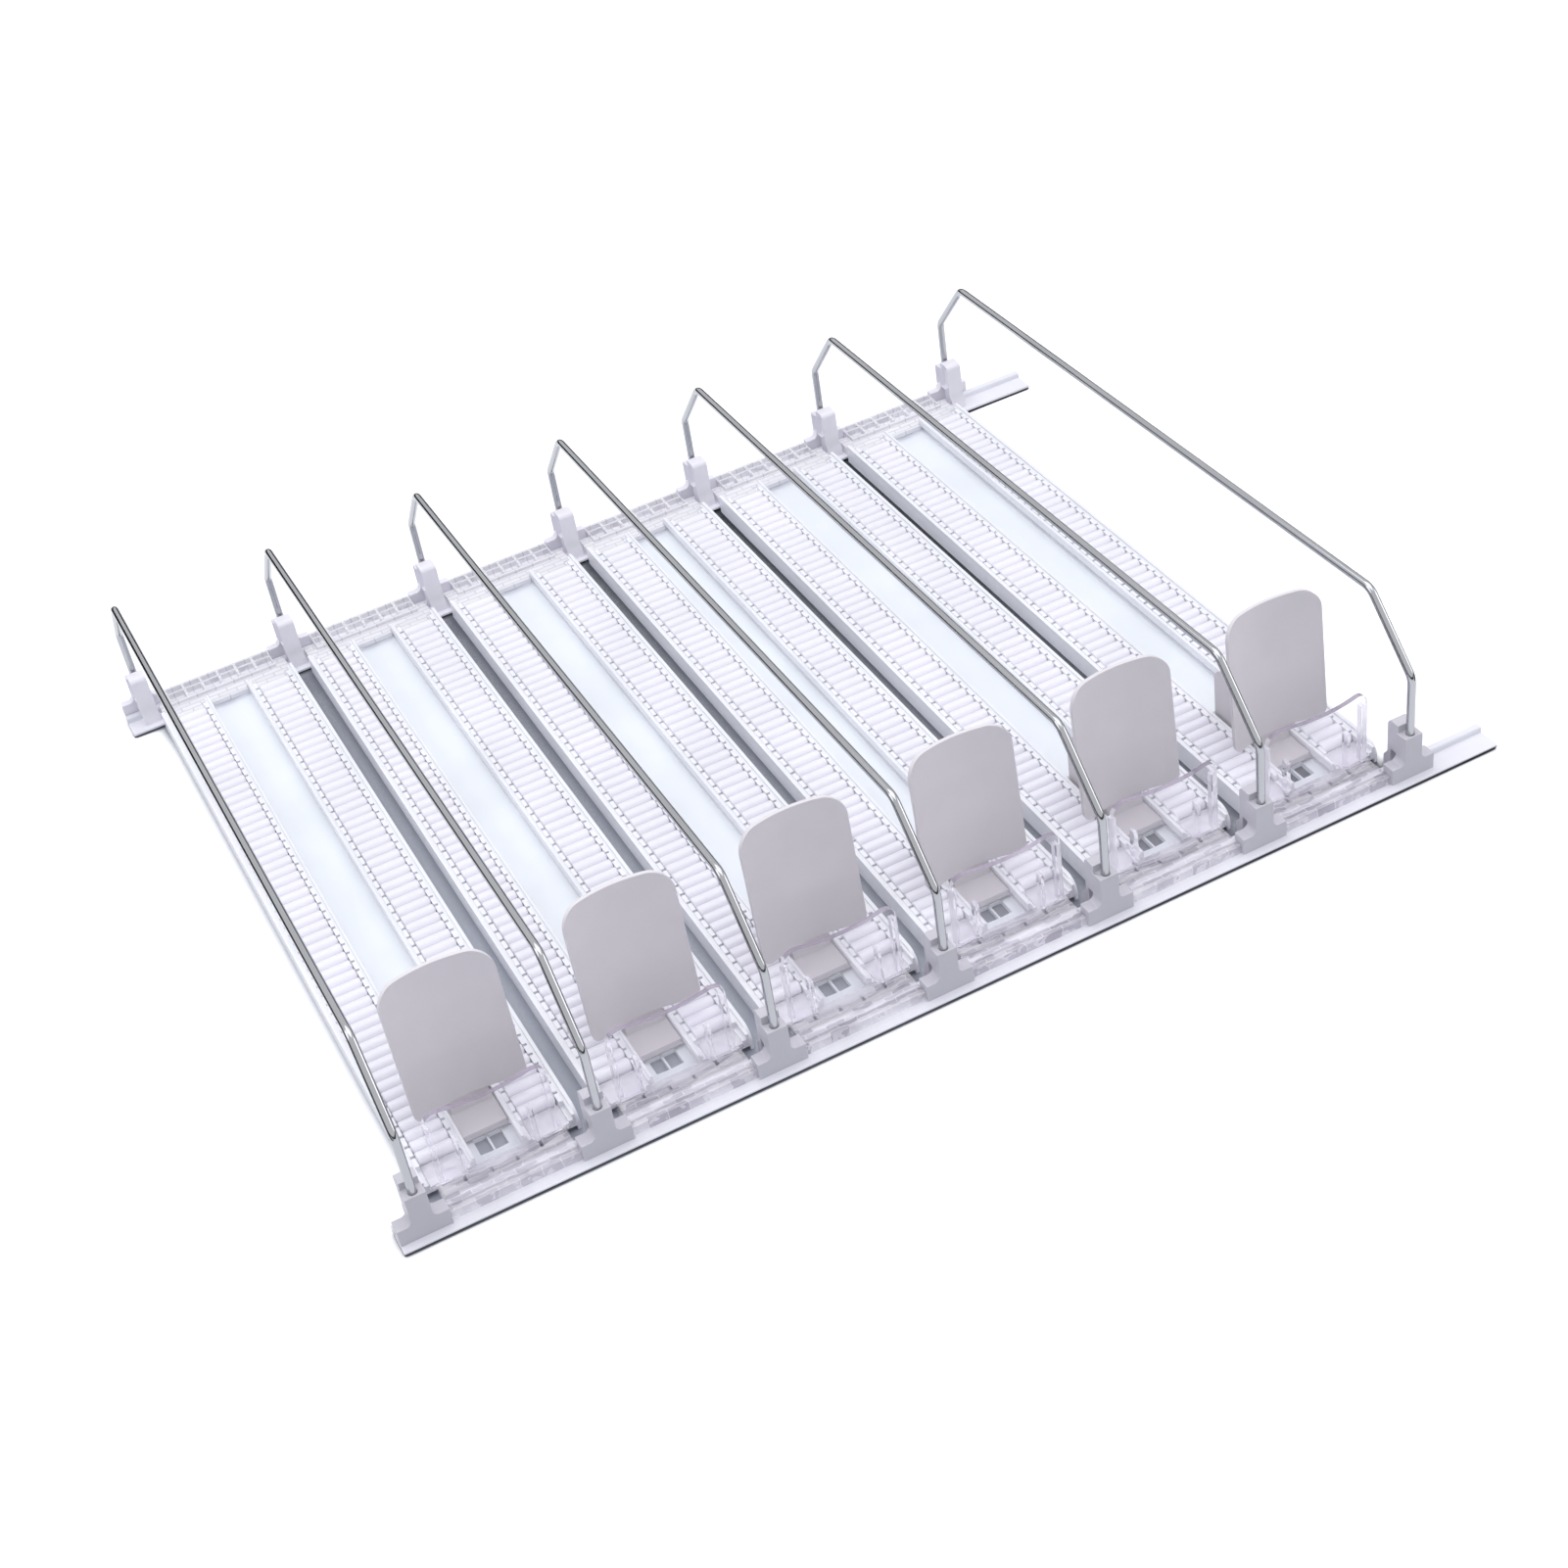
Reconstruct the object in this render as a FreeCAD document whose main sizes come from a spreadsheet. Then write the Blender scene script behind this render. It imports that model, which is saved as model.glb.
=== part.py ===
import FreeCAD, Part
import math
import os
import re
import Sketcher

# Gravity-free can organizer for a fridge shelf, in millimetres.
# Six lanes stand side by side on two rails. Each lane is a moulded track with two beds of small
# rollers and a channel between them. A curved pusher runs in the channel, drawn forward by a
# coiled steel tape. A clear stop closes the lane in front and a clear connector ties the track
# to the rear rail. Bent wires, held in T-shaped clips, part the lanes.
#
# Frame: X runs along the rails, Y from the front to the rear, Z up. The origin is the middle of
# the box at its underside. Pieces of the front are drawn from the line of the front wire feet,
# pieces of the rear from the line of the rear wire feet, turned to look forward.

LANES = 6
# Seven wires and their sockets repeat, so their round section is drawn with twelve flats.
WIRE_FLATS = 12

SIZES = [
    ("rail_left", 10.5, "rail beyond the first wire"),
    ("rail_right", 39.5, "rail beyond the last wire"),
    ("rail_depth", 13.6, "rail, front to rear"),
    ("rail_plate", 1.2, "thickness of the rail's flat"),
    ("rail_out", 6.4, "front rail's edge in front of the front wire feet"),
    ("rail_in", 15.0, "rear rail's edge in front of the rear wire feet"),
    ("ridge_width", 3.5, "the rail's ridge that the clips straddle"),
    ("ridge_height", 2.7, "ridge above the rail's flat"),
    ("ridge_round", 1.1, "rounding of the ridge's top"),
    ("strip_thick", 0.8, "anti-slip strip under the rail"),
    ("strip_inset", 0.8, "strip's edge inside the rail's edge"),
    ("foot_span", 373.6, "front wire feet to rear wire feet"),
    ("wire_size", 3.5, "wire diameter"),
    ("wire_front_bend", 50.3, "height of the front foot's bend"),
    ("wire_front_run", 27.1, "slope of the wire behind the front foot"),
    ("wire_front_top", 78.7, "height of the wire's front corner"),
    ("wire_rear_bend", 46.4, "height of the rear foot's bend"),
    ("wire_rear_run", 24.8, "slope of the wire before the rear foot"),
    ("wire_rear_top", 74.9, "height of the wire's rear corner"),
    ("wire_radius", 7.5, "bend radius on the wire's axis"),
    ("wire_play", 0.05, "room round the wire in its clip"),
    ("seat_play", 0.2, "room between pieces that slip together"),
    ("run_play", 0.35, "room round the sliding carriage"),
    ("face_out", 2.7, "clip's face outside the wire foot"),
    ("wing_half", 10.2, "half width of the clip's wings"),
    ("wing_top", 9.5, "top of the clip's wings"),
    ("post_half", 4.2, "half width of the clip's post"),
    ("post_top", 22.6, "top of the clip's post"),
    ("post_wall", 1.0, "post behind the wire's socket"),
    ("socket_depth", 9.8, "depth of the wire's socket"),
    ("corner_round", 2.4, "rounding between wing and post"),
    ("leg_half", 3.8, "half width of the clip's leg"),
    ("leg_top", 26.0, "top of the clip's leg"),
    ("leg_back", 9.4, "leg's inner face from the wire foot"),
    ("leg_foot", 11.7, "leg's toe from the wire foot"),
    ("toe_top", 6.4, "top of the leg's toe"),
    ("arch_top", 11.6, "top of the arch over the ridge"),
    ("track_front", 15.3, "track's front end behind the front wire feet"),
    ("track_back", 17.3, "track's rear end before the rear wire feet"),
    ("track_gap", 8.0, "gap between two tracks"),
    ("side_wall", 1.4, "track's outer wall"),
    ("outer_comb", 2.8, "comb that bears the rollers' outer pins"),
    ("roller_length", 15.0, "width of a roller bed"),
    ("inner_comb", 2.4, "comb that bears the rollers' inner pins"),
    ("lip_wall", 1.2, "lip beside the channel"),
    ("channel_half", 9.2, "half width of the channel"),
    ("lip_top", 9.4, "top of the lips and outer walls"),
    ("comb_top", 8.4, "top of the combs"),
    ("bed_floor", 3.8, "floor of the roller beds"),
    ("bed_under", 2.2, "underside of the roller beds"),
    ("channel_floor", 2.0, "middle of the channel's floor"),
    ("channel_rise", 0.9, "floor's rise at the channel's sides"),
    ("groove_depth", 1.8, "grooves that guide the carriage"),
    ("groove_low", 3.2, "lower side of the grooves"),
    ("groove_high", 5.8, "upper side of the grooves"),
    ("wall_round", 6.5, "rounding of the outer walls' front ends"),
    ("window_start", 6.7, "windows in the channel's floor behind the track's front end"),
    ("window_length", 9.0, "windows, front to rear"),
    ("window_width", 5.2, "width of a window"),
    ("window_bar", 0.8, "bar between the two windows"),
    ("roller_pitch", 6.0, "roller to roller"),
    ("roller_top", 9.6, "top of the rollers"),
    ("roller_crest", 3.4, "flat width at a roller's top"),
    ("roller_play", 0.3, "room at a roller's ends"),
    ("front_seat", 10.5, "bed before the first roller"),
    ("rear_seat", 6.5, "bed behind the last roller"),
    ("stop_lip", 1.2, "stop's base in front of the front wire feet"),
    ("stop_base", 6.0, "top of the stop's base"),
    ("stop_roof", 1.3, "top wall of the stop's base over its cells"),
    ("stop_shell", 1.2, "walls round the cells under the stop's base"),
    ("stop_cells", 5.0, "cells in each row under the stop's base"),
    ("stop_half", 24.0, "half width of the stop's wall"),
    ("stop_mid", 8.0, "middle of the stop's wall behind the wire feet"),
    ("stop_sag", 4.0, "bow of the stop's wall"),
    ("stop_wall", 2.2, "thickness of the stop's wall"),
    ("stop_top", 43.0, "top of the stop"),
    ("stop_round", 7.0, "rounding of the stop's top corners"),
    ("ear_depth", 4.4, "stop's side ribs behind the wall"),
    ("ear_wall", 2.0, "thickness of the side ribs"),
    ("ear_drop", 9.0, "top of the side ribs below the stop's top"),
    ("fin_place", 14.5, "stop's gussets beside the lane's middle"),
    ("fin_wall", 1.6, "thickness of the gussets"),
    ("fin_top", 24.0, "top of the gussets"),
    ("tongue_top", 6.2, "top of the tongues in the roller beds"),
    ("link_back", 2.4, "connector's rear edge behind the wire feet"),
    ("link_top", 8.0, "top of the connector"),
    ("link_step", 6.4, "top of the connector's front part"),
    ("link_step_place", 11.5, "step of the connector from the wire feet"),
    ("link_side", 1.0, "connector's side inside the track's side"),
    ("link_wall", 1.4, "walls between the connector's pockets"),
    ("link_pocket", 2.6, "depth of the connector's pockets"),
    ("link_cells", 6.0, "pockets in each of the connector's rows"),
    ("key_start", 2.6, "connector's middle tongue in the channel"),
    ("carriage_front", 29.3, "carriage's front end behind the front wire feet"),
    ("carriage_length", 45.0, "carriage, front to rear"),
    ("carriage_low", 4.2, "underside of the carriage"),
    ("carriage_top", 7.2, "top of the carriage"),
    ("paddle_half", 22.5, "half width of the paddle"),
    ("paddle_mid", 41.3, "hollow of the paddle behind the front wire feet"),
    ("paddle_sag", 5.5, "hollow of the paddle"),
    ("paddle_wall", 1.8, "thickness of the paddle"),
    ("paddle_low", 14.6, "bottom of the paddle"),
    ("paddle_high", 62.6, "paddle, bottom to top"),
    ("paddle_lean", 4.5, "backward lean of the paddle, degrees"),
    ("paddle_top_round", 9.0, "rounding of the paddle's top corners"),
    ("paddle_low_round", 5.0, "rounding of the paddle's bottom corners"),
    ("nest_half", 8.0, "half width of the coil's housing"),
    ("nest_wall", 1.6, "thickness of the housing's cheeks"),
    ("nest_front", 3.2, "thickness of the housing's front"),
    ("nest_top", 33.0, "top of the housing"),
    ("nest_round", 7.0, "rounding of the housing's top"),
    ("nest_depth", 30.0, "housing, front to rear"),
    ("coil_size", 24.0, "outer diameter of the coiled tape"),
    ("coil_hole", 8.0, "hole in the coiled tape"),
    ("coil_place", 17.6, "coil's axis behind the paddle's hollow"),
    ("coil_height", 18.2, "coil's axis above the shelf"),
    ("tape_half", 5.0, "half width of the steel tape"),
    ("tape_thick", 0.3, "thickness of the steel tape"),
    ("tape_low", 2.5, "underside of the tape on the channel's floor"),
    ("tape_front", 17.2, "tape's hook behind the track's front end"),
    ("tape_hook", 1.2, "height of the tape's hook"),
]

TRACK_HALF = "(channel_half + lip_wall + inner_comb + roller_length + outer_comb + side_wall)"
PITCH = f"(2 * {TRACK_HALF} + track_gap)"
RAIL_LENGTH = f"(rail_left + {LANES} * {PITCH} + rail_right)"
MIDDLE_Y = "((foot_span + face_out - rail_out) / 2)"
TRACK_LENGTH = "(foot_span - track_front - track_back)"
ROLLERS = f"floor(({TRACK_LENGTH} - front_seat - rear_seat) / roller_pitch + 0.001)"
RAIL_TOP = "(strip_thick + rail_plate)"
RIDGE_TOP = f"({RAIL_TOP} + ridge_height)"
BED_IN = "(channel_half + lip_wall + inner_comb)"
BED_OUT = f"({BED_IN} + roller_length)"

doc = FreeCAD.newDocument("CanOrganizer")
sheet = doc.addObject("Spreadsheet::Sheet", "Sizes")
for row, (alias, number, meaning) in enumerate(SIZES, start=1):
    sheet.set(f"A{row}", meaning)
    sheet.set(f"B{row}", str(number))
    sheet.setAlias(f"B{row}", alias)
doc.recompute()

ALIASES = {alias for alias, number, meaning in SIZES}


def value(alias):
    """The number that the sheet holds under this alias."""
    return float(sheet.get(alias))


def bound(formula):
    """A formula in aliases, as an expression that reads them from the sheet."""
    return re.sub(r"[a-z_]+", lambda m: "Sizes." + m[0] if m[0] in ALIASES else m[0], formula)


def new_body(label, x="0", y="0", turned=False):
    """A body with its own label, placed in the object's frame."""
    body = doc.addObject("PartDesign::Body", label)
    body.Label = label
    angle = 180 if turned else 0
    body.Placement = FreeCAD.Placement(FreeCAD.Vector(), FreeCAD.Rotation(angle, 0, 0))
    body.setExpression("Placement.Base.x", bound(x))
    body.setExpression("Placement.Base.y", bound(y))
    return body


def new_sketch(body, name, role, offset="0"):
    """A sketch on one of the body's own planes, moved along that plane's normal."""
    sketch = body.newObject("Sketcher::SketchObject", name)
    planes = {feature.Role: feature for feature in body.Origin.OriginFeatures}
    sketch.AttachmentSupport = [(planes[role], "")]
    sketch.MapMode = "FlatFace"
    sketch.setExpression("AttachmentOffset.Base.z", bound(offset))
    return sketch


def pin_point(sketch, geometry, end, across, up):
    """Holds a sketch point at two formulas, counted from the sketch's origin."""
    place = sketch.getPoint(geometry, end)
    for kind, now, formula in (("DistanceX", place.x, across), ("DistanceY", place.y, up)):
        index = sketch.addConstraint(Sketcher.Constraint(kind, -1, 1, geometry, end, now))
        sketch.setExpression(f"Constraints[{index}]", bound(formula))


def outline(sketch, corners):
    """A closed outline of straight lines through corners given as formulas."""
    count = len(corners)
    first = len(sketch.Geometry)
    spokes = [2 * math.pi * k / count for k in range(count)]
    ring = [FreeCAD.Vector(20 * math.cos(a), 20 * math.sin(a), 0) for a in spokes]
    for k in range(count):
        sketch.addGeometry(Part.LineSegment(ring[k], ring[(k + 1) % count]), False)
    for k in range(count):
        following = first + (k + 1) % count
        sketch.addConstraint(Sketcher.Constraint("Coincident", first + k, 2, following, 1))
    for k, (across, up) in enumerate(corners):
        pin_point(sketch, first + k, 1, across, up)


def rectangle(sketch, left, right, low, high):
    """A rectangle between four formulas."""
    outline(sketch, [(left, low), (right, low), (right, high), (left, high)])


def round_flats(sketch, radius):
    """A regular outline of WIRE_FLATS sides round the sketch's origin, for a round section."""
    turns = [2 * math.pi * (k + 0.5) / WIRE_FLATS for k in range(WIRE_FLATS)]
    outline(sketch, [(f"{math.cos(a):.6f} * ({radius})", f"{math.sin(a):.6f} * ({radius})") for a in turns])


def circle(sketch, across, up, radius):
    """A circle with its centre and radius as formulas."""
    index = sketch.addGeometry(Part.Circle(FreeCAD.Vector(), FreeCAD.Vector(0, 0, 1), 1), False)
    pin_point(sketch, index, 3, across, up)
    held = sketch.addConstraint(Sketcher.Constraint("Radius", index, 1.0))
    sketch.setExpression(f"Constraints[{held}]", bound(radius))


def arc_band(sketch, half, bow, thickness, side):
    """A band between two arcs about one centre on the sketch's upright axis.

    The arc nearer the front passes through the sketch's origin and is bowed by `bow` over the
    width. Side -1 bows the band to the front, side 1 hollows it.
    """
    radius = f"(({half}^2 + {bow}^2) / (2 * {bow}))"
    number = (value(half) ** 2 + value(bow) ** 2) / (2 * value(bow))
    centre = FreeCAD.Vector(0, -side * number, 0)
    radii = [(radius, number), (f"({radius} + {side} * {thickness})", number + side * value(thickness))]
    arcs = []
    for formula, r in radii:
        slope = math.acos(value(half) / r)
        start = slope if side > 0 else math.pi + slope
        round_line = Part.Circle(centre, FreeCAD.Vector(0, 0, 1), r)
        arc = Part.ArcOfCircle(round_line, start, start + math.pi - 2 * slope)
        index = sketch.addGeometry(arc, False)
        held = sketch.addConstraint(Sketcher.Constraint("Radius", index, r))
        sketch.setExpression(f"Constraints[{held}]", bound(formula))
        for end in (1, 2):
            sign = side if end == 1 else -side
            place = Sketcher.Constraint("DistanceX", -1, 1, index, end, sign * value(half))
            held = sketch.addConstraint(place)
            sketch.setExpression(f"Constraints[{held}]", bound(f"{sign} * {half}"))
        arcs.append(index)
    sketch.addConstraint(Sketcher.Constraint("PointOnObject", arcs[0], 3, -2))
    sketch.addConstraint(Sketcher.Constraint("Coincident", arcs[0], 3, arcs[1], 3))
    held = sketch.addConstraint(Sketcher.Constraint("DistanceY", -1, 1, arcs[0], 3, centre.y))
    sketch.setExpression(f"Constraints[{held}]", bound(f"0 - {side} * {radius}"))
    for end in (1, 2):
        ends = [sketch.getPoint(index, end) for index in arcs]
        line = sketch.addGeometry(Part.LineSegment(ends[0], ends[1]), False)
        sketch.addConstraint(Sketcher.Constraint("Coincident", line, 1, arcs[0], end))
        sketch.addConstraint(Sketcher.Constraint("Coincident", line, 2, arcs[1], end))


def lean_back(sketch):
    """Tilts a sketch's plane about X so that what is drawn upright leans to the rear."""
    tilt = FreeCAD.Rotation(FreeCAD.Vector(-1, 0, 0), value("paddle_lean"))
    sketch.AttachmentOffset = FreeCAD.Placement(FreeCAD.Vector(), tilt)
    sketch.setExpression("AttachmentOffset.Rotation.Angle", bound("paddle_lean * 1deg"))


def corner_spandrel(sketch, side, half, level, down, radius):
    """The waste between a square corner and its rounding, to be cut away.

    The corner is at `side` times `half` and at `level`; `down` is -1 under it and 1 above it.
    """
    r = value(radius)
    corner = FreeCAD.Vector(side * value(half), value(level) if level in ALIASES else 0, 0)
    beside = corner - FreeCAD.Vector(side * r, 0, 0)
    below = corner + FreeCAD.Vector(0, down * r, 0)
    centre = beside + FreeCAD.Vector(0, down * r, 0)
    top = sketch.addGeometry(Part.LineSegment(corner, beside), False)
    edge = sketch.addGeometry(Part.LineSegment(below, corner), False)
    turn = -side * down
    first, last = (below, beside) if turn > 0 else (beside, below)
    start, end = (math.atan2((p - centre).y, (p - centre).x) for p in (first, last))
    if end < start:
        end += 2 * math.pi
    round_line = Part.Circle(centre, FreeCAD.Vector(0, 0, 1), r)
    arc = sketch.addGeometry(Part.ArcOfCircle(round_line, start, end), False)
    near_end, far_end = (2, 1) if turn > 0 else (1, 2)
    sketch.addConstraint(Sketcher.Constraint("Coincident", edge, 2, top, 1))
    sketch.addConstraint(Sketcher.Constraint("Coincident", arc, near_end, top, 2))
    sketch.addConstraint(Sketcher.Constraint("Coincident", arc, far_end, edge, 1))
    pin_point(sketch, top, 1, f"{side} * {half}", level)
    pin_point(sketch, top, 2, f"{side} * ({half} - {radius})", level)
    pin_point(sketch, edge, 1, f"{side} * {half}", f"{level} + {down} * {radius}")
    held = sketch.addConstraint(Sketcher.Constraint("Radius", arc, r))
    sketch.setExpression(f"Constraints[{held}]", bound(radius))


def bent_path(sketch, corners, radius):
    """An open path of straight runs with a tangent arc of one radius at each inner corner."""
    points = []
    for across, up in corners:
        index = sketch.addGeometry(Part.Point(FreeCAD.Vector(1, 1, 0)), True)
        pin_point(sketch, index, 1, across, up)
        points.append(index)
    doc.recompute()
    places = [sketch.getPoint(index, 1) for index in points]
    size = value(radius)
    runs = []
    arcs = []
    starts = [places[0]]
    ends = []
    for before, corner, after in zip(places, places[1:], places[2:]):
        came = (corner - before).normalize()
        goes = (after - corner).normalize()
        back = size * math.tan(came.getAngle(goes) / 2)
        left_turn = came.x * goes.y - came.y * goes.x > 0
        tangent_in = corner - came * back
        tangent_out = corner + goes * back
        aside = FreeCAD.Vector(-came.y, came.x, 0) * (size if left_turn else -size)
        centre = tangent_in + aside
        first, last = (tangent_in, tangent_out) if left_turn else (tangent_out, tangent_in)
        angles = [math.atan2((p - centre).y, (p - centre).x) for p in (first, last)]
        arcs.append((centre, angles, left_turn))
        ends.append(tangent_in)
        starts.append(tangent_out)
    ends.append(places[-1])
    for start, end in zip(starts, ends):
        runs.append(sketch.addGeometry(Part.LineSegment(start, end), False))
    sketch.addConstraint(Sketcher.Constraint("Coincident", runs[0], 1, points[0], 1))
    sketch.addConstraint(Sketcher.Constraint("Coincident", runs[-1], 2, points[-1], 1))
    for k, (centre, angles, left_turn) in enumerate(arcs):
        round_line = Part.Circle(centre, FreeCAD.Vector(0, 0, 1), size)
        if angles[1] < angles[0]:
            angles[1] += 2 * math.pi
        arc = sketch.addGeometry(Part.ArcOfCircle(round_line, angles[0], angles[1]), False)
        held = sketch.addConstraint(Sketcher.Constraint("Radius", arc, size))
        sketch.setExpression(f"Constraints[{held}]", bound(radius))
        near, far = (1, 2) if left_turn else (2, 1)
        sketch.addConstraint(Sketcher.Constraint("Tangent", runs[k], 2, arc, near))
        sketch.addConstraint(Sketcher.Constraint("Tangent", runs[k + 1], 1, arc, far))
        sketch.addConstraint(Sketcher.Constraint("PointOnObject", points[k + 1], 1, runs[k]))
        sketch.addConstraint(Sketcher.Constraint("PointOnObject", points[k + 1], 1, runs[k + 1]))


def pad(body, name, sketch, length, both_ways=False, backwards=False):
    """Extrudes a sketch by a formula, along its normal, against it or half each way."""
    feature = body.newObject("PartDesign::Pad", name)
    feature.Profile = sketch
    feature.setExpression("Length", bound(length))
    feature.Midplane = both_ways
    feature.Reversed = backwards
    sketch.Visibility = False
    return feature


def pocket(body, name, sketch, length, both_ways=False, backwards=False):
    """Cuts a sketch's outline out of the body by a formula."""
    feature = body.newObject("PartDesign::Pocket", name)
    feature.Profile = sketch
    feature.setExpression("Length", bound(length))
    feature.Midplane = both_ways
    feature.Reversed = backwards
    return feature


def round_edges(body, name, radius, chosen):
    """Rounds the edges of the body so far that `chosen` picks by their shape."""
    doc.recompute()
    base = body.Tip
    names = [f"Edge{k}" for k, edge in enumerate(base.Shape.Edges, start=1) if chosen(edge)]
    if not names:
        raise ValueError(f"{body.Label}: {name} finds no edge")
    fillet = body.newObject("PartDesign::Fillet", name)
    fillet.Base = (base, names)
    fillet.setExpression("Radius", bound(radius))
    return fillet


def along(edge, axis):
    """Whether an edge is straight and runs along X, Y or Z."""
    if len(edge.Vertexes) != 2 or edge.Curve.TypeId != "Part::GeomLine":
        return False
    way = edge.Vertexes[1].Point - edge.Vertexes[0].Point
    parts = dict(zip("XYZ", (abs(way.x), abs(way.y), abs(way.z))))
    return parts[axis] > 0.99 * way.Length


def near(a, b, margin=0.01):
    """Whether two numbers are the same for the eye."""
    return abs(a - b) < margin


def wire_x(number):
    """The formula of a wire's place along the rails, counted from 0."""
    return f"(rail_left - {RAIL_LENGTH} / 2 + {number} * {PITCH})"


def lane_x(number):
    """The formula of a lane's middle along the rails, counted from 0."""
    return f"(rail_left - {RAIL_LENGTH} / 2 + ({number} + 0.5) * {PITCH})"


FRONT_FEET = f"(0 - {MIDDLE_Y})"
REAR_FEET = f"(foot_span - {MIDDLE_Y})"


def rail(label, edge_y):
    """An extruded rail: a flat with a ridge along its rear edge."""
    body = new_body(label, y=edge_y)
    section = new_sketch(body, label + "_section", "YZ_Plane", f"-{RAIL_LENGTH} / 2")
    ridge = "(rail_depth - ridge_width)"
    corners = [("0", "strip_thick"), ("rail_depth", "strip_thick"), ("rail_depth", RIDGE_TOP)]
    corners += [(ridge, RIDGE_TOP), (ridge, RAIL_TOP), ("0", RAIL_TOP)]
    outline(section, corners)
    pad(body, label + "_extrusion", section, RAIL_LENGTH)
    top = value("strip_thick") + value("rail_plate") + value("ridge_height")
    round_edges(body, label + "_ridge", "ridge_round",
                lambda e: along(e, "X") and near(e.CenterOfMass.z, top))
    return body


def strips():
    """The two anti-slip strips, one under each rail, that the object stands on."""
    body = new_body("anti_slip_strips")
    plan = new_sketch(body, "strip_plan", "XY_Plane")
    left = f"(0 - {RAIL_LENGTH} / 2)"
    right = f"({RAIL_LENGTH} / 2)"
    for start in (f"(0 - rail_out - {MIDDLE_Y})", f"(foot_span - rail_in - {MIDDLE_Y})"):
        low = f"({start} + strip_inset)"
        high = f"({start} + rail_depth - strip_inset)"
        rectangle(plan, left, right, low, high)
    pad(body, "strip_slab", plan, "strip_thick").AllowMultiFace = True
    return body


def wire(number):
    """A divider: one round wire bent over the lane, with both feet down in the clips."""
    label = f"divider_wire_{number + 1}"
    body = new_body(label, wire_x(number), FRONT_FEET)
    foot = "(post_top - socket_depth + seat_play)"
    path = new_sketch(body, label + "_path", "YZ_Plane")
    corners = [("0", foot), ("0", "wire_front_bend"), ("wire_front_run", "wire_front_top")]
    corners += [("foot_span - wire_rear_run", "wire_rear_top"), ("foot_span", "wire_rear_bend")]
    corners += [("foot_span", foot)]
    bent_path(path, corners, "wire_radius")
    section = new_sketch(body, label + "_section", "XY_Plane", foot)
    round_flats(section, "wire_size / 2")
    sweep = body.newObject("PartDesign::AdditivePipe", label + "_sweep")
    sweep.Profile = section
    sweep.Spine = (path, [])
    return body


def clip(label, x, y, turned):
    """A T-shaped clip that straddles the rail's ridge and holds one wire foot.

    The face and wings stand outside the ridge, the leg inside it. On the front rail the leg
    laps over the rail's edge, on the rear rail the face does.
    """
    body = new_body(label, x, y, turned)
    near_side = "(rail_in - rail_depth)" if turned else "(rail_depth - ridge_width - rail_out)"
    face_base, leg_base = ("strip_thick", RAIL_TOP) if turned else (RAIL_TOP, "strip_thick")
    arch_near = f"({near_side} - seat_play)"
    arch_far = f"({near_side} + ridge_width + seat_play)"
    shelf = "(wire_size / 2 + wire_play + post_wall)"
    side = new_sketch(body, label + "_side", "YZ_Plane")
    corners = [("-face_out", face_base), (arch_near, face_base), (arch_near, "arch_top")]
    corners += [(arch_far, "arch_top"), (arch_far, leg_base), ("leg_foot", leg_base)]
    corners += [("leg_foot", "toe_top"), ("leg_back", "wing_top"), ("leg_back", "leg_top")]
    corners += [(shelf, "leg_top"), (shelf, "post_top"), ("-face_out", "post_top")]
    outline(side, corners)
    pad(body, label + "_spine", side, "2 * leg_half", both_ways=True)
    face = new_sketch(body, label + "_face", "XZ_Plane", "face_out")
    corners = [("-wing_half", face_base), ("wing_half", face_base), ("wing_half", "wing_top")]
    corners += [("post_half", "wing_top"), ("post_half", "post_top"), ("-post_half", "post_top")]
    corners += [("-post_half", "wing_top"), ("-wing_half", "wing_top")]
    outline(face, corners)
    pad(body, label + "_plate", face, f"face_out + {arch_near}", backwards=True)
    socket = new_sketch(body, label + "_socket_plan", "XY_Plane", "leg_top")
    round_flats(socket, "wire_size / 2 + wire_play")
    pocket(body, label + "_socket", socket, "leg_top - post_top + socket_depth")
    wing_top = value("wing_top")
    post_half = value("post_half")
    round_edges(body, label + "_corners", "corner_round",
                lambda e: along(e, "Y") and near(e.CenterOfMass.z, wing_top)
                and near(abs(e.CenterOfMass.x), post_half))
    leg_top = value("leg_top")
    round_edges(body, label + "_crown", "corner_round",
                lambda e: along(e, "X") and near(e.CenterOfMass.z, leg_top)
                and near(e.CenterOfMass.y, value("leg_back")))
    return body


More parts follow.
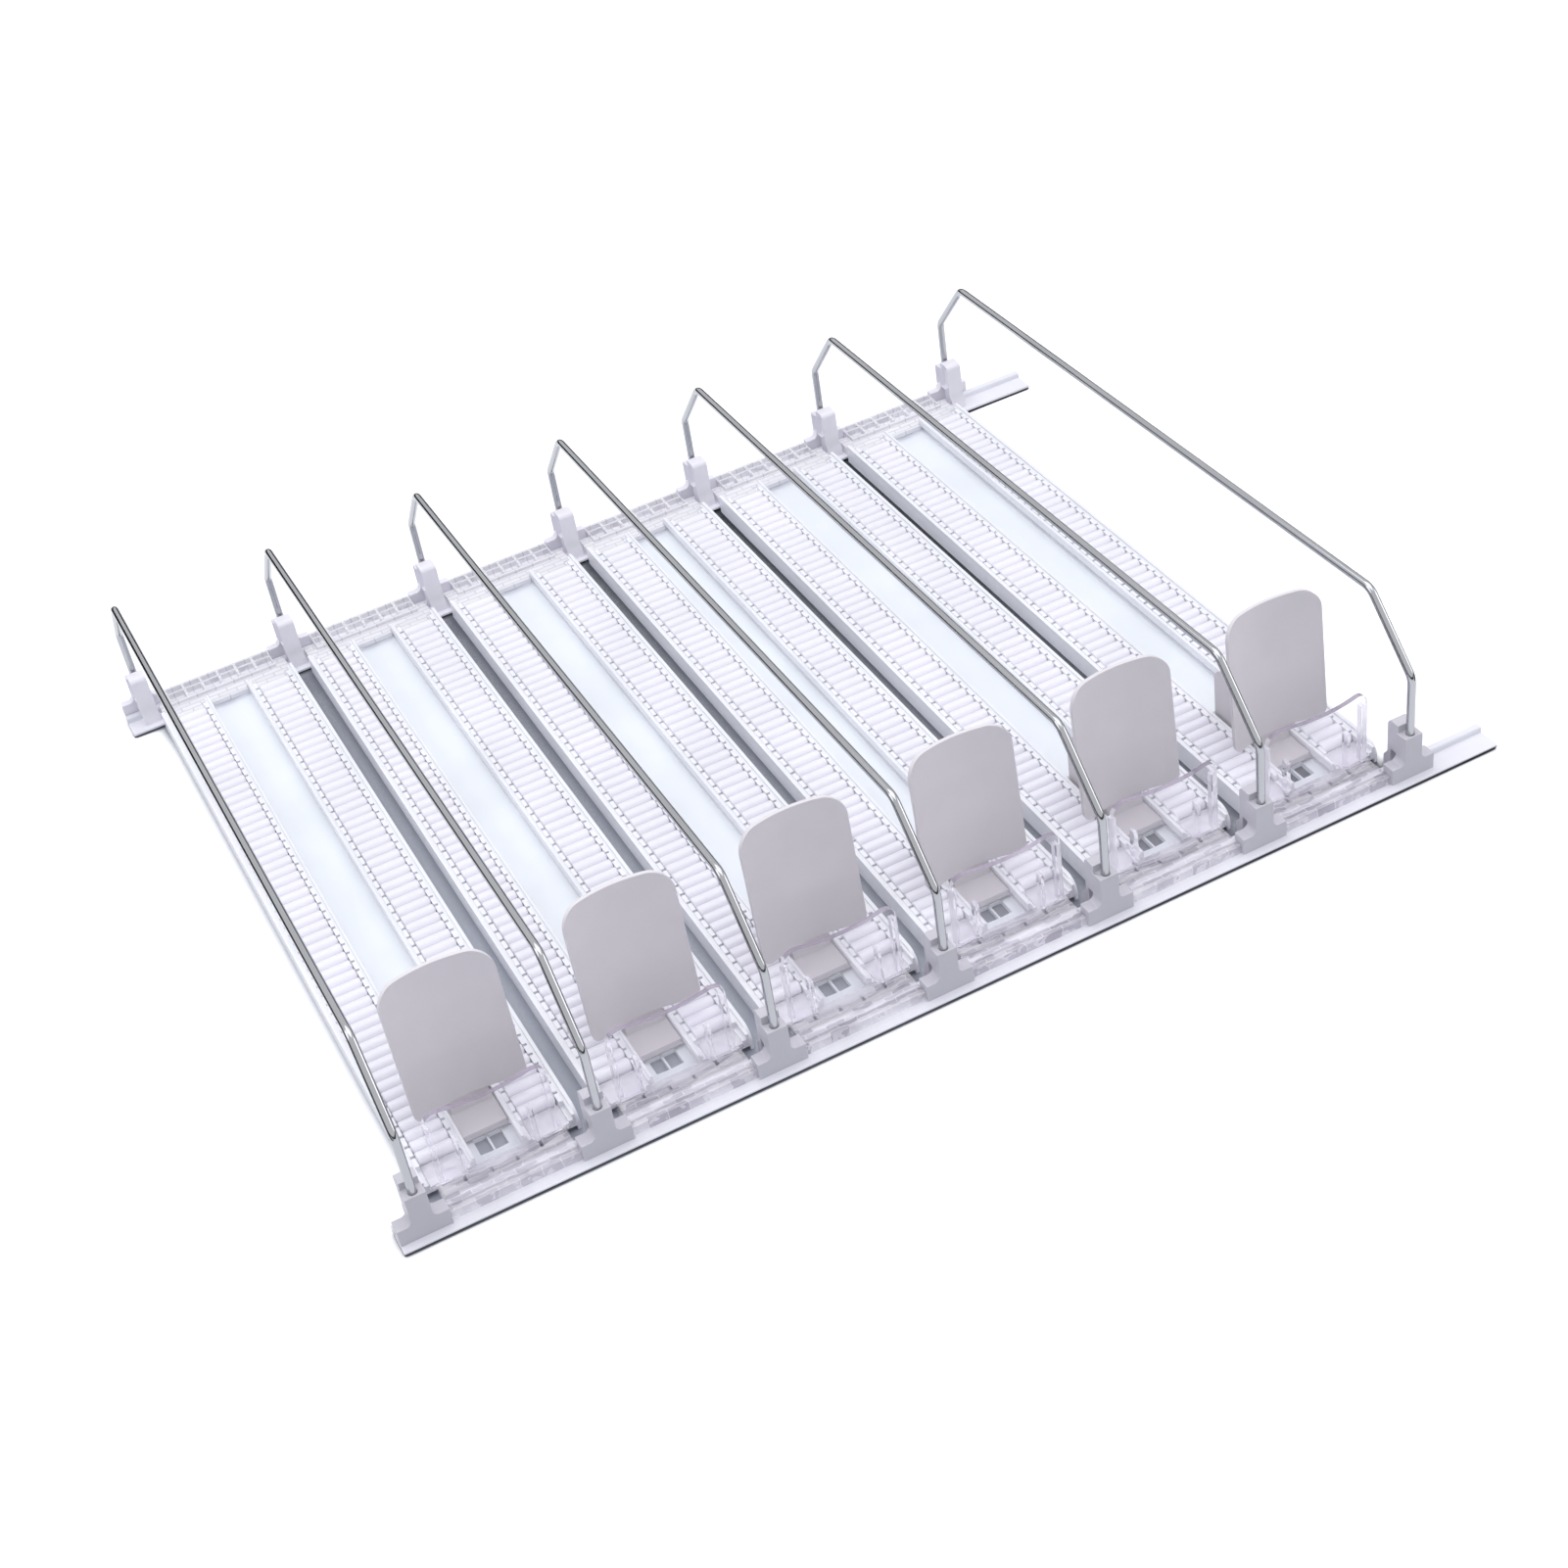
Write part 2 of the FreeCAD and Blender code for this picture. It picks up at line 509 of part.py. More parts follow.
def track(number):
    """A moulded track: two roller beds, a guided channel between them and the rollers.

    The rollers are part of this piece here, each a bar with the roller's height and pitch.
    """
    label = f"track_{number + 1}"
    body = new_body(label, lane_x(number), f"(track_front - {MIDDLE_Y})")
    half = new_sketch(body, label + "_half", "XZ_Plane")
    inner = "(channel_half + lip_wall)"
    comb_out = f"({BED_OUT} + outer_comb)"
    groove = "(channel_half + groove_depth)"
    corners = [("0", "0"), (BED_IN, "0"), (BED_IN, "bed_under"), (comb_out, "bed_under")]
    corners += [(comb_out, "0"), (TRACK_HALF, "0"), (TRACK_HALF, "lip_top"), (comb_out, "lip_top")]
    corners += [(comb_out, "comb_top"), (BED_OUT, "comb_top"), (BED_OUT, "bed_floor")]
    corners += [(BED_IN, "bed_floor"), (BED_IN, "comb_top"), (inner, "comb_top")]
    corners += [(inner, "lip_top"), ("channel_half", "lip_top"), ("channel_half", "groove_high")]
    corners += [(groove, "groove_high"), (groove, "groove_low"), ("channel_half", "groove_low")]
    corners += [("channel_half", "channel_floor + channel_rise")]
    corners += [("channel_half / 2", "channel_floor + channel_rise / 4"), ("0", "channel_floor")]
    outline(half, corners)
    pad(body, label + "_moulding", half, TRACK_LENGTH, backwards=True)
    lip_top = value("lip_top")
    inner_x = value("channel_half") + value("lip_wall") + value("inner_comb")
    wall_mid = inner_x + value("roller_length") + value("outer_comb") + value("side_wall") / 2
    round_edges(body, label + "_wall_end", "wall_round",
                lambda e: along(e, "X") and near(e.CenterOfMass.z, lip_top)
                and near(e.CenterOfMass.x, wall_mid) and near(e.CenterOfMass.y, 0))
    window = new_sketch(body, label + "_window_plan", "XY_Plane")
    rectangle(window, "window_bar / 2", "window_bar / 2 + window_width",
              "window_start", "window_start + window_length")
    pocket(body, label + "_window", window, "channel_floor + channel_rise", backwards=True)
    bar_end = new_sketch(body, label + "_roller_end", "YZ_Plane", f"{BED_IN} + roller_play")
    middle = "(front_seat + roller_pitch / 2)"
    corners = [(f"{middle} - roller_pitch / 2", "bed_floor")]
    corners += [(f"{middle} + roller_pitch / 2", "bed_floor")]
    corners += [(f"{middle} + roller_crest / 2", "roller_top")]
    corners += [(f"{middle} - roller_crest / 2", "roller_top")]
    outline(bar_end, corners)
    roller = pad(body, label + "_roller", bar_end, "roller_length - 2 * roller_play")
    doc.recompute()
    row = body.newObject("PartDesign::LinearPattern", label + "_roller_row")
    row.Originals = [roller]
    planes = {feature.Role: feature for feature in body.Origin.OriginFeatures}
    row.Direction = (planes["Y_Axis"], [""])
    row.setExpression("Occurrences", bound(ROLLERS))
    row.setExpression("Length", bound(f"({ROLLERS} - 1) * roller_pitch"))
    body.Tip = row
    doc.recompute()
    mirrored = body.newObject("PartDesign::Mirrored", label + "_other_half")
    mirrored.MirrorPlane = (planes["YZ_Plane"], [""])
    mirrored.TransformMode = "Whole shape"
    body.Tip = mirrored
    return body


def front_stop(number):
    """A clear front stop: a base over the rail's ridge, two tongues and a bowed wall."""
    label = f"front_stop_{number + 1}"
    body = new_body(label, lane_x(number), FRONT_FEET)
    base_half = f"({PITCH} / 2 - wing_half - seat_play)"
    ridge = "(rail_depth - ridge_width - rail_out)"
    rear = "(track_front - seat_play)"
    side = new_sketch(body, label + "_side", "YZ_Plane")
    over = f"({RIDGE_TOP} + seat_play)"
    corners = [("-stop_lip", RAIL_TOP), (f"{ridge} - seat_play", RAIL_TOP)]
    corners += [(f"{ridge} - seat_play", over), (f"{ridge} + ridge_width + seat_play", over)]
    corners += [(f"{ridge} + ridge_width + seat_play", "0"), (rear, "0"), (rear, "stop_base")]
    corners += [("-stop_lip", "stop_base")]
    outline(side, corners)
    pad(body, label + "_base", side, f"2 * {base_half}", both_ways=True)
    under = new_sketch(body, label + "_cell_plan", "XY_Plane")
    step = f"((2 * {base_half} - stop_shell) / stop_cells)"
    rows = [("stop_shell - stop_lip", f"{ridge} - seat_play - stop_shell")]
    rows += [(f"{ridge} + ridge_width + seat_play + stop_shell", f"{rear} - stop_shell")]
    for low, high in rows:
        for k in range(int(value("stop_cells"))):
            left = f"(stop_shell - {base_half} + {k} * {step})"
            rectangle(under, left, f"{left} + {step} - stop_shell", low, high)
    cells = pocket(body, label + "_cells", under, "stop_base - stop_roof", backwards=True)
    cells.AllowMultiFace = True
    wall_plan = new_sketch(body, label + "_wall_plan", "XY_Plane", over)
    wall_plan.setExpression("AttachmentOffset.Base.y", bound("stop_mid"))
    arc_band(wall_plan, "stop_half", "stop_sag", "stop_wall", -1)
    pad(body, label + "_wall", wall_plan, f"stop_top - {over}")
    stop_top = value("stop_top")
    round_edges(body, label + "_corners", "stop_round",
                lambda e: along(e, "Y") and near(e.CenterOfMass.z, stop_top))
    ears = new_sketch(body, label + "_ear_plan", "XY_Plane", "stop_base")
    ear_front = "(stop_mid + stop_sag)"
    for left, right in (("-stop_half", "ear_wall - stop_half"), ("stop_half - ear_wall", "stop_half")):
        rectangle(ears, left, right, ear_front, f"{ear_front} + ear_depth")
    pad(body, label + "_ears", ears, "stop_top - ear_drop - stop_base").AllowMultiFace = True
    fins = new_sketch(body, label + "_fin_plan", "XY_Plane", "stop_base")
    for place in ("-fin_place", "fin_place"):
        rectangle(fins, f"{place} - fin_wall / 2", f"{place} + fin_wall / 2",
                  "stop_mid + stop_sag / 2 + stop_wall / 2", rear)
    pad(body, label + "_fins", fins, "fin_top - stop_base").AllowMultiFace = True
    tongues = new_sketch(body, label + "_tongue_plan", "XY_Plane", "bed_floor + seat_play")
    near_x = f"({BED_IN} + seat_play)"
    far_x = f"({BED_OUT} - seat_play)"
    tip = "(track_front + front_seat - seat_play)"
    rectangle(tongues, near_x, far_x, f"{rear} - 1", tip)
    rectangle(tongues, f"-{far_x}", f"-{near_x}", f"{rear} - 1", tip)
    pad(body, label + "_tongues", tongues, "tongue_top - bed_floor - seat_play").AllowMultiFace = True
    return body


def rear_connector(number):
    """A clear connector: a ribbed bridge over the rear rail with tongues in the track's end."""
    label = f"rear_connector_{number + 1}"
    body = new_body(label, lane_x(number), REAR_FEET, turned=True)
    side = new_sketch(body, label + "_side", "YZ_Plane")
    ridge = "(rail_in - rail_depth)"
    over = f"({RIDGE_TOP} + seat_play)"
    front = "(track_back - seat_play)"
    past = "(rail_in + seat_play)"
    corners = [("-link_back", "strip_thick"), (f"{ridge} - seat_play", "strip_thick")]
    corners += [(f"{ridge} - seat_play", over), (f"{ridge} + ridge_width + seat_play", over)]
    corners += [(f"{ridge} + ridge_width + seat_play", RAIL_TOP), (past, RAIL_TOP), (past, "0")]
    corners += [(front, "0"), (front, "link_step"), ("link_step_place", "link_step")]
    corners += [("link_step_place", "link_top"), ("-link_back", "link_top")]
    outline(side, corners)
    half = f"({PITCH} / 2 - wing_half - seat_play)"
    pad(body, label + "_bridge", side, f"2 * {half}", both_ways=True)
    wide = new_sketch(body, label + "_wide_plan", "XY_Plane", RAIL_TOP)
    wide_half = f"({TRACK_HALF} - link_side)"
    behind = f"({ridge} + ridge_width + seat_play)"
    for near_x, far_x in ((f"-{wide_half}", f"-{half} + 1"), (f"{half} - 1", wide_half)):
        rectangle(wide, near_x, far_x, behind, front)
    pad(body, label + "_wings", wide, f"link_step - {RAIL_TOP}").AllowMultiFace = True
    cells = int(value("link_cells"))
    pockets = new_sketch(body, label + "_pocket_plan", "XY_Plane", "link_top")
    step = f"(2 * {half} / link_cells)"
    rows = [("link_wall - link_back", f"{ridge} + ridge_width / 2 - link_wall / 2")]
    rows += [(f"{ridge} + ridge_width / 2 + link_wall / 2", "link_step_place - link_wall")]
    for low, high in rows:
        for k in range(cells):
            left = f"(0 - {half} + {k} * {step} + link_wall / 2)"
            rectangle(pockets, left, f"{left} + {step} - link_wall", low, high)
    pocket(body, label + "_pockets", pockets, "link_pocket").AllowMultiFace = True
    tongues = new_sketch(body, label + "_tongue_plan", "XY_Plane", "bed_floor + seat_play")
    near_x = f"({BED_IN} + seat_play)"
    far_x = f"({BED_OUT} - seat_play)"
    tip = "(track_back + rear_seat - seat_play)"
    rectangle(tongues, near_x, far_x, f"{front} - 1", tip)
    rectangle(tongues, f"-{far_x}", f"-{near_x}", f"{front} - 1", tip)
    key_half = "(channel_half - seat_play)"
    rectangle(tongues, f"-{key_half}", key_half, f"{front} - 1", f"{front} + key_start")
    pad(body, label + "_tongues", tongues, "link_step - bed_floor - seat_play").AllowMultiFace = True
    return body


def pusher(number):
    """A pusher: a carriage in the channel's grooves, a coil housing and the hollow paddle."""
    label = f"pusher_{number + 1}"
    body = new_body(label, lane_x(number), FRONT_FEET)
    plan = new_sketch(body, label + "_paddle_plan", "XY_Plane", "paddle_low")
    lean_back(plan)
    plan.setExpression("AttachmentOffset.Base.y", bound("paddle_mid"))
    arc_band(plan, "paddle_half", "paddle_sag", "paddle_wall", 1)
    pad(body, label + "_paddle", plan, "paddle_high")
    front_view = new_sketch(body, label + "_corner_view", "XZ_Plane", "-paddle_mid")
    lean_back(front_view)
    front_view.setExpression("AttachmentOffset.Base.y", bound("paddle_low"))
    for side in (-1, 1):
        corner_spandrel(front_view, side, "paddle_half", "paddle_high", -1, "paddle_top_round")
        corner_spandrel(front_view, side, "paddle_half", "0", 1, "paddle_low_round")
    pocket(body, label + "_corners", front_view, "6 * paddle_sag", both_ways=True).AllowMultiFace = True
    section = new_sketch(body, label + "_section", "XZ_Plane", "-carriage_front")
    slide = "(channel_half - run_play)"
    guide = "(channel_half + groove_depth - run_play)"
    guide_low = "(groove_low + run_play)"
    guide_high = "(groove_high - run_play)"
    right = [(slide, "carriage_low"), (slide, guide_low), (guide, guide_low)]
    right += [(guide, guide_high), (slide, guide_high), (slide, "carriage_top")]
    left = [("-" + across, up) for across, up in reversed(right)]
    outline(section, right + left)
    pad(body, label + "_carriage", section, "carriage_length", backwards=True)
    front = "(paddle_mid + paddle_wall / 2)"
    rear = f"({front} + nest_depth)"
    lean = "tan(paddle_lean * 1deg)"
    side = new_sketch(body, label + "_nest_side", "YZ_Plane")
    front_top = f"({front} + (nest_top - paddle_low) * {lean})"
    corners = [(front, "carriage_low"), (rear, "carriage_low"), (rear, "nest_top")]
    corners += [(front_top, "nest_top"), (front, "paddle_low")]
    outline(side, corners)
    pad(body, label + "_nest", side, "2 * nest_half", both_ways=True)
    nest_top = value("nest_top")
    nest_rear = value("paddle_mid") + value("paddle_wall") / 2 + value("nest_depth")
    round_edges(body, label + "_nest_back", "nest_round",
                lambda e: along(e, "X") and near(e.CenterOfMass.z, nest_top)
                and near(e.CenterOfMass.y, nest_rear))
    inside = new_sketch(body, label + "_nest_inside", "YZ_Plane")
    inner = f"({front} + nest_front)"
    rectangle(inside, inner, f"{rear} + 1", "0", "nest_top + 1")
    pocket(body, label + "_nest_slot", inside, "2 * (nest_half - nest_wall)", both_ways=True)
    pin = new_sketch(body, label + "_pin_end", "YZ_Plane")
    circle(pin, "paddle_mid + coil_place", "coil_height", "coil_hole / 2 - seat_play")
    pad(body, label + "_pin", pin, "2 * nest_half", both_ways=True)
    return body


def coil(number):
    """The steel tape of a pusher, rolled up in the housing, as one closed roll."""
    label = f"spring_coil_{number + 1}"
    body = new_body(label, lane_x(number), FRONT_FEET)
    ring = new_sketch(body, label + "_ring", "YZ_Plane")
    circle(ring, "paddle_mid + coil_place", "coil_height", "coil_size / 2")
    circle(ring, "paddle_mid + coil_place", "coil_height", "coil_hole / 2")
    pad(body, label + "_roll", ring, "2 * tape_half", both_ways=True)
    return body


def tape(number):
    """The drawn-out end of the steel tape, from the coil to its hook in the channel's floor."""
    label = f"spring_tape_{number + 1}"
    body = new_body(label, lane_x(number), FRONT_FEET)
    side = new_sketch(body, label + "_side", "YZ_Plane")
    hook = "(track_front + tape_front)"
    lift = "(paddle_mid + coil_place - coil_size / 4)"
    top = "(tape_low + tape_thick)"
    corners = [(hook, "tape_low"), (lift, "tape_low"), (lift, top), (f"{hook} + tape_thick", top)]
    corners += [(f"{hook} + tape_thick", "tape_low + tape_hook"), (hook, "tape_low + tape_hook")]
    outline(side, corners)
    pad(body, label + "_strip", side, "2 * tape_half", both_ways=True)
    return body


pieces = [rail("front_rail", f"(0 - rail_out - {MIDDLE_Y})")]
pieces.append(rail("rear_rail", f"(foot_span - rail_in - {MIDDLE_Y})"))
pieces.append(strips())
for number in range(LANES + 1):
    pieces.append(wire(number))
    pieces.append(clip(f"front_clip_{number + 1}", wire_x(number), FRONT_FEET, False))
    pieces.append(clip(f"rear_clip_{number + 1}", wire_x(number), REAR_FEET, True))
for number in range(LANES):
    pieces.append(track(number))
    pieces.append(front_stop(number))
    pieces.append(rear_connector(number))
    pieces.append(pusher(number))
    pieces.append(coil(number))
    pieces.append(tape(number))
doc.recompute()

for item in doc.Objects:
    if "Invalid" in item.State or "Error" in item.State:
        raise RuntimeError(f"{item.Label} failed: {item.State}")
for body in pieces:
    if body.Shape.isNull() or not body.Shape.isValid():
        raise RuntimeError(f"{body.Label} has no valid shape")

os.makedirs("parts", exist_ok=True)
for body in pieces:
    body.Shape.exportStep(f"parts/{body.Label}.step")
    box = body.Shape.BoundBox
    size = f"{box.XLength:.1f} x {box.YLength:.1f} x {box.ZLength:.1f}"
    print(f"{body.Label}: {len(body.Shape.Solids)} solid(s), {body.Shape.Volume:.0f} mm3, {size}")
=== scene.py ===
# %% [markdown]
# # A can organizer on a white table
# The organizer is six roller lanes between two rails, with sprung pushers and clear stops.
# The measured model of it is loaded first and is never moved. Everything after that gives the
# pieces their finish, or puts a finer surface where a plain one stands.

import bmesh
import bpy
import numpy as np
from mathutils import Matrix, Vector


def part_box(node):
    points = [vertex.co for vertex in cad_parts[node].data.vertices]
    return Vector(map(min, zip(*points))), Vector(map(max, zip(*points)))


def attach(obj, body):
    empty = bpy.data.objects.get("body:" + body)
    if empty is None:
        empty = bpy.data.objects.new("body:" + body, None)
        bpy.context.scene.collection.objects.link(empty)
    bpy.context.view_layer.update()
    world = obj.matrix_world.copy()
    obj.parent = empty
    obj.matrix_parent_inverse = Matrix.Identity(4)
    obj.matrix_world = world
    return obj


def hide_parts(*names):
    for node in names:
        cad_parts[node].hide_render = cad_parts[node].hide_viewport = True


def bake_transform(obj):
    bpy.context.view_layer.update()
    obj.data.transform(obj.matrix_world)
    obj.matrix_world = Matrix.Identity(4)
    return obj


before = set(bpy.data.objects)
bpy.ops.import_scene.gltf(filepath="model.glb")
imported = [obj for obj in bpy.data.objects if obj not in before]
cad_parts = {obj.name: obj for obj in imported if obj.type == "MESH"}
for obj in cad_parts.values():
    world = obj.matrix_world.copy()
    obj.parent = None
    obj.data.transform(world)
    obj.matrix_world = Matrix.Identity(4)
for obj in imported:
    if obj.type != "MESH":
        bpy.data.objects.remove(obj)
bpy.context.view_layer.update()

LANES = sum(name.startswith("track_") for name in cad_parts)
MM = 0.001

# %% [markdown]
# ## From arrays to pieces
# Each new piece is worked out as whole arrays of points and faces. A piece can be several
# closed shells, so shells are gathered and joined into one mesh. One function makes the mesh,
# smooths it up to a given edge angle, gives it a material and ties it to the body it moves
# with. Keeping that in one place means that no piece forgets a step.

# %% Helpers for meshes


def joined(shells):
    """One array of points and one list of faces from several (points, faces) shells."""
    points = np.concatenate([np.asarray(p, float).reshape(-1, 3) for p, f in shells])
    faces = []
    start = 0
    for p, f in shells:
        faces += [[index + start for index in face] for face in f]
        start += len(p)
    return points, faces


def make_piece(name, shells, material, body="root", stands_for=(), smooth_angle=35):
    """A mesh object from shells, in metres, finished and riding on a body, if one is named."""
    points, faces = joined(shells)
    mesh = bpy.data.meshes.new(name)
    mesh.from_pydata(points.tolist(), [], faces)
    work = bmesh.new()
    work.from_mesh(mesh)
    bmesh.ops.recalc_face_normals(work, faces=work.faces)
    work.to_mesh(mesh)
    work.free()
    mesh.shade_smooth()
    mesh.set_sharp_from_angle(angle=np.radians(smooth_angle))
    mesh.materials.append(material)
    piece = bpy.data.objects.new(name, mesh)
    bpy.context.scene.collection.objects.link(piece)
    if body:
        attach(piece, body)
    if stands_for:
        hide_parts(*stands_for)
    return piece


def band_faces(rows, columns):
    """Quads of a grid of rows x columns points; the columns always run round in a ring.

    Point (i, j) has the index i * columns + j. Each quad joins rows i and i + 1 and columns
    j and j + 1, and the last column joins the first.
    """
    i, j = np.meshgrid(np.arange(rows - 1), np.arange(columns), indexing="ij")
    following = (j + 1) % columns
    quads = np.stack([i * columns + j, i * columns + following,
                      (i + 1) * columns + following, (i + 1) * columns + j], axis=-1)
    return quads.reshape(-1, 4).tolist()


def prism(outline, axis, start, end):
    """A closed outline carried straight along X or Y, with a cap at each end.

    For axis 1 the outline's pairs are (x, z) and it runs from y = start to y = end. For axis 0
    they are (y, z) and it runs along x.
    """
    outline = np.asarray(outline, float)
    count = len(outline)
    ends = []
    for place in (start, end):
        along = np.full(count, place)
        columns = (outline[:, 0], along) if axis == 1 else (along, outline[:, 0])
        ends.append(np.stack([columns[0], columns[1], outline[:, 1]], axis=1))
    faces = band_faces(2, count)
    faces.append(list(range(count)))
    faces.append(list(range(count, 2 * count)))
    return np.concatenate(ends), faces


def blocks(centres, halves):
    """Many equal blocks: each is eight corners about its centre, `halves` away along X, Y, Z."""
    square = ((-1, -1), (1, -1), (1, 1), (-1, 1))
    signs = np.array([(x, y, z) for z in (-1, 1) for x, y in square])
    points = (np.asarray(centres)[:, None] + signs * np.asarray(halves)).reshape(-1, 3)
    one = np.array([(0, 3, 2, 1), (4, 5, 6, 7), (0, 1, 5, 4),
                    (1, 2, 6, 5), (2, 3, 7, 6), (3, 0, 4, 7)])
    faces = (one + 8 * np.arange(len(centres))[:, None, None]).reshape(-1, 4)
    return points, faces.tolist()


def tube(line, radius, sides):
    """A round tube: at each point of the line, a ring of `sides` points across its direction.

    The line lies in a plane of constant x, so X and the cross product of X with the direction
    span the ring. Both ends are closed with one face.
    """
    line = np.asarray(line, float)
    way = np.gradient(line, axis=0)
    way /= np.linalg.norm(way, axis=1)[:, None]
    first = np.broadcast_to([1.0, 0, 0], line.shape)
    second = np.cross(way, first)
    turn = np.linspace(0, 2 * np.pi, sides, endpoint=False)
    ring = (np.cos(turn)[None, :, None] * first[:, None]
            + np.sin(turn)[None, :, None] * second[:, None])
    points = (line[:, None] + radius * ring).reshape(-1, 3)
    faces = band_faces(len(line), sides)
    faces.append(list(range(sides)))
    faces.append(list(range(len(points) - sides, len(points))))
    return points, faces


def rounded_line(corners, radius, steps=9):
    """An open line through corners in (y, z), each inner corner turned by an arc of one radius.

    The arc leaves the runs at radius * tan(half the turn) from the corner; its points are its
    centre plus the radius in directions between the two tangent points.
    """
    corners = np.asarray(corners, float)
    line = [corners[:1]]
    for before, corner, after in zip(corners, corners[1:], corners[2:]):
        came = (corner - before) / np.linalg.norm(corner - before)
        goes = (after - corner) / np.linalg.norm(after - corner)
        half_turn = np.arccos(np.clip(came @ goes, -1, 1)) / 2
        bisector = (goes - came) / np.linalg.norm(goes - came)
        centre = corner + bisector * radius / np.cos(half_turn)
        spread = np.linspace(-half_turn, half_turn, steps)[:, None]
        along = (came + goes) / np.linalg.norm(came + goes)
        line.append(centre - radius * np.cos(spread) * bisector + radius * np.sin(spread) * along)
    line.append(corners[-1:])
    return np.concatenate(line)


# %% [markdown]
# ## Camera
# The picture was taken from the left in front, well above the shelf, with the camera turned a
# little about its own axis. The camera's place and turn were solved from the straight edges of
# the rails, wires and tracks. A camera looks along its own -Z, so its matrix is built from the
# directions to its right, up and back. Roll turns the first two about the third.

# %% Camera
AZIMUTH, ELEVATION, ROLL = np.radians([-20.9866, 38.9110, -9.6845])
EYE = np.array([-304.58, -805.18, 664.81]) * MM
FOCAL_PIXELS = 2539.14
PHOTO_PIXELS = 1601
SENSOR = 36.0

back = np.array([np.sin(AZIMUTH) * np.cos(ELEVATION), -np.cos(AZIMUTH) * np.cos(ELEVATION),
                 np.sin(ELEVATION)])
level_right = np.cross([0, 0, 1.0], back)
level_right /= np.linalg.norm(level_right)
level_up = np.cross(back, level_right)
right = np.cos(ROLL) * level_right + np.sin(ROLL) * level_up
up = -np.sin(ROLL) * level_right + np.cos(ROLL) * level_up
lens = bpy.data.cameras.new("camera")
lens.sensor_width = SENSOR
lens.lens = FOCAL_PIXELS / PHOTO_PIXELS * SENSOR
camera = bpy.data.objects.new("camera", lens)
turn = Matrix((right, up, back)).transposed().to_4x4()
camera.matrix_world = Matrix.Translation(Vector(EYE)) @ turn
bpy.context.scene.collection.objects.link(camera)
bpy.context.scene.camera = camera
print("lens:", round(lens.lens, 2), "mm")

# %% [markdown]
# ## Light and floor
# The light is a broad soft box overhead with a weaker one at each side, and a weak sky that is
# brighter above than at the sides. Upward faces then show their colour about as written, and
# faces toward the camera fall to a soft grey, as in the picture. The floor is white where it
# lies open, helped by a faint glow that outshines soft shadows. Where walls close in on it, as
# between two tracks, its colour is painted shade: a grey that deepens toward the right and the
# rear, with none behind the tracks' rear end. How open a spot is comes from the ambient
# occlusion node. Bare metal needs something dark to mirror, so mirrored rays meet a dark
# horizon and dark cards, which nothing else sees.

# %% Light and floor


def node_tree(owner):
    """An empty node tree of a material or world, with its nodes and links."""
    owner.use_nodes = True
    tree = owner.node_tree
    tree.nodes.clear()
    return tree, tree.nodes, tree.links


scene = bpy.context.scene
scene.view_settings.view_transform = "Standard"
SKY_SIDE = (0.30, 0.30, 0.34, 1)
SKY_TOP = (0.80, 0.82, 0.86, 1)
MIRRORED_SKY = ((0.0, 0.05), (0.16, 0.08), (0.24, 1.0))    # height of the ray, grey
world = bpy.data.worlds.new("studio")
scene.world = world
tree, nodes, links = node_tree(world)
place = nodes.new("ShaderNodeTexCoord")
split = nodes.new("ShaderNodeSeparateXYZ")
links.new(place.outputs["Generated"], split.inputs[0])
height = nodes.new("ShaderNodeValToRGB")
height.color_ramp.elements[0].color = SKY_SIDE
height.color_ramp.elements[1].color = SKY_TOP
links.new(split.outputs["Z"], height.inputs["Fac"])
sky = nodes.new("ShaderNodeBackground")
links.new(height.outputs["Color"], sky.inputs["Color"])
horizon = nodes.new("ShaderNodeValToRGB")
for position, tone in MIRRORED_SKY:
    stop = horizon.color_ramp.elements.new(position)
    stop.color = (tone, tone, tone, 1)
horizon.color_ramp.elements.remove(horizon.color_ramp.elements[0])
links.new(split.outputs["Z"], horizon.inputs["Fac"])
path = nodes.new("ShaderNodeLightPath")
mirrored = nodes.new("ShaderNodeMix")
mirrored.data_type = "RGBA"
links.new(path.outputs["Is Glossy Ray"], mirrored.inputs["Factor"])
mirrored.inputs["A"].default_value = (1, 1, 1, 1)
links.new(horizon.outputs["Color"], mirrored.inputs["B"])
white = nodes.new("ShaderNodeBackground")
links.new(mirrored.outputs["Result"], white.inputs["Color"])


def seen_directly(nodes, links):
    """1 for camera rays and for rays that pass through or mirror, and 0 for bounced light."""
    path = nodes.new("ShaderNodeLightPath")
    total = path.outputs["Is Camera Ray"]
    for name in ("Is Glossy Ray", "Is Transmission Ray"):
        most = nodes.new("ShaderNodeMath")
        most.operation = "MAXIMUM"
        links.new(total, most.inputs[0])
        links.new(path.outputs[name], most.inputs[1])
        total = most.outputs[0]
    return total


mix = nodes.new("ShaderNodeMixShader")
links.new(seen_directly(nodes, links), mix.inputs[0])
links.new(sky.outputs[0], mix.inputs[1])
links.new(white.outputs[0], mix.inputs[2])
output = nodes.new("ShaderNodeOutputWorld")
links.new(mix.outputs[0], output.inputs[0])

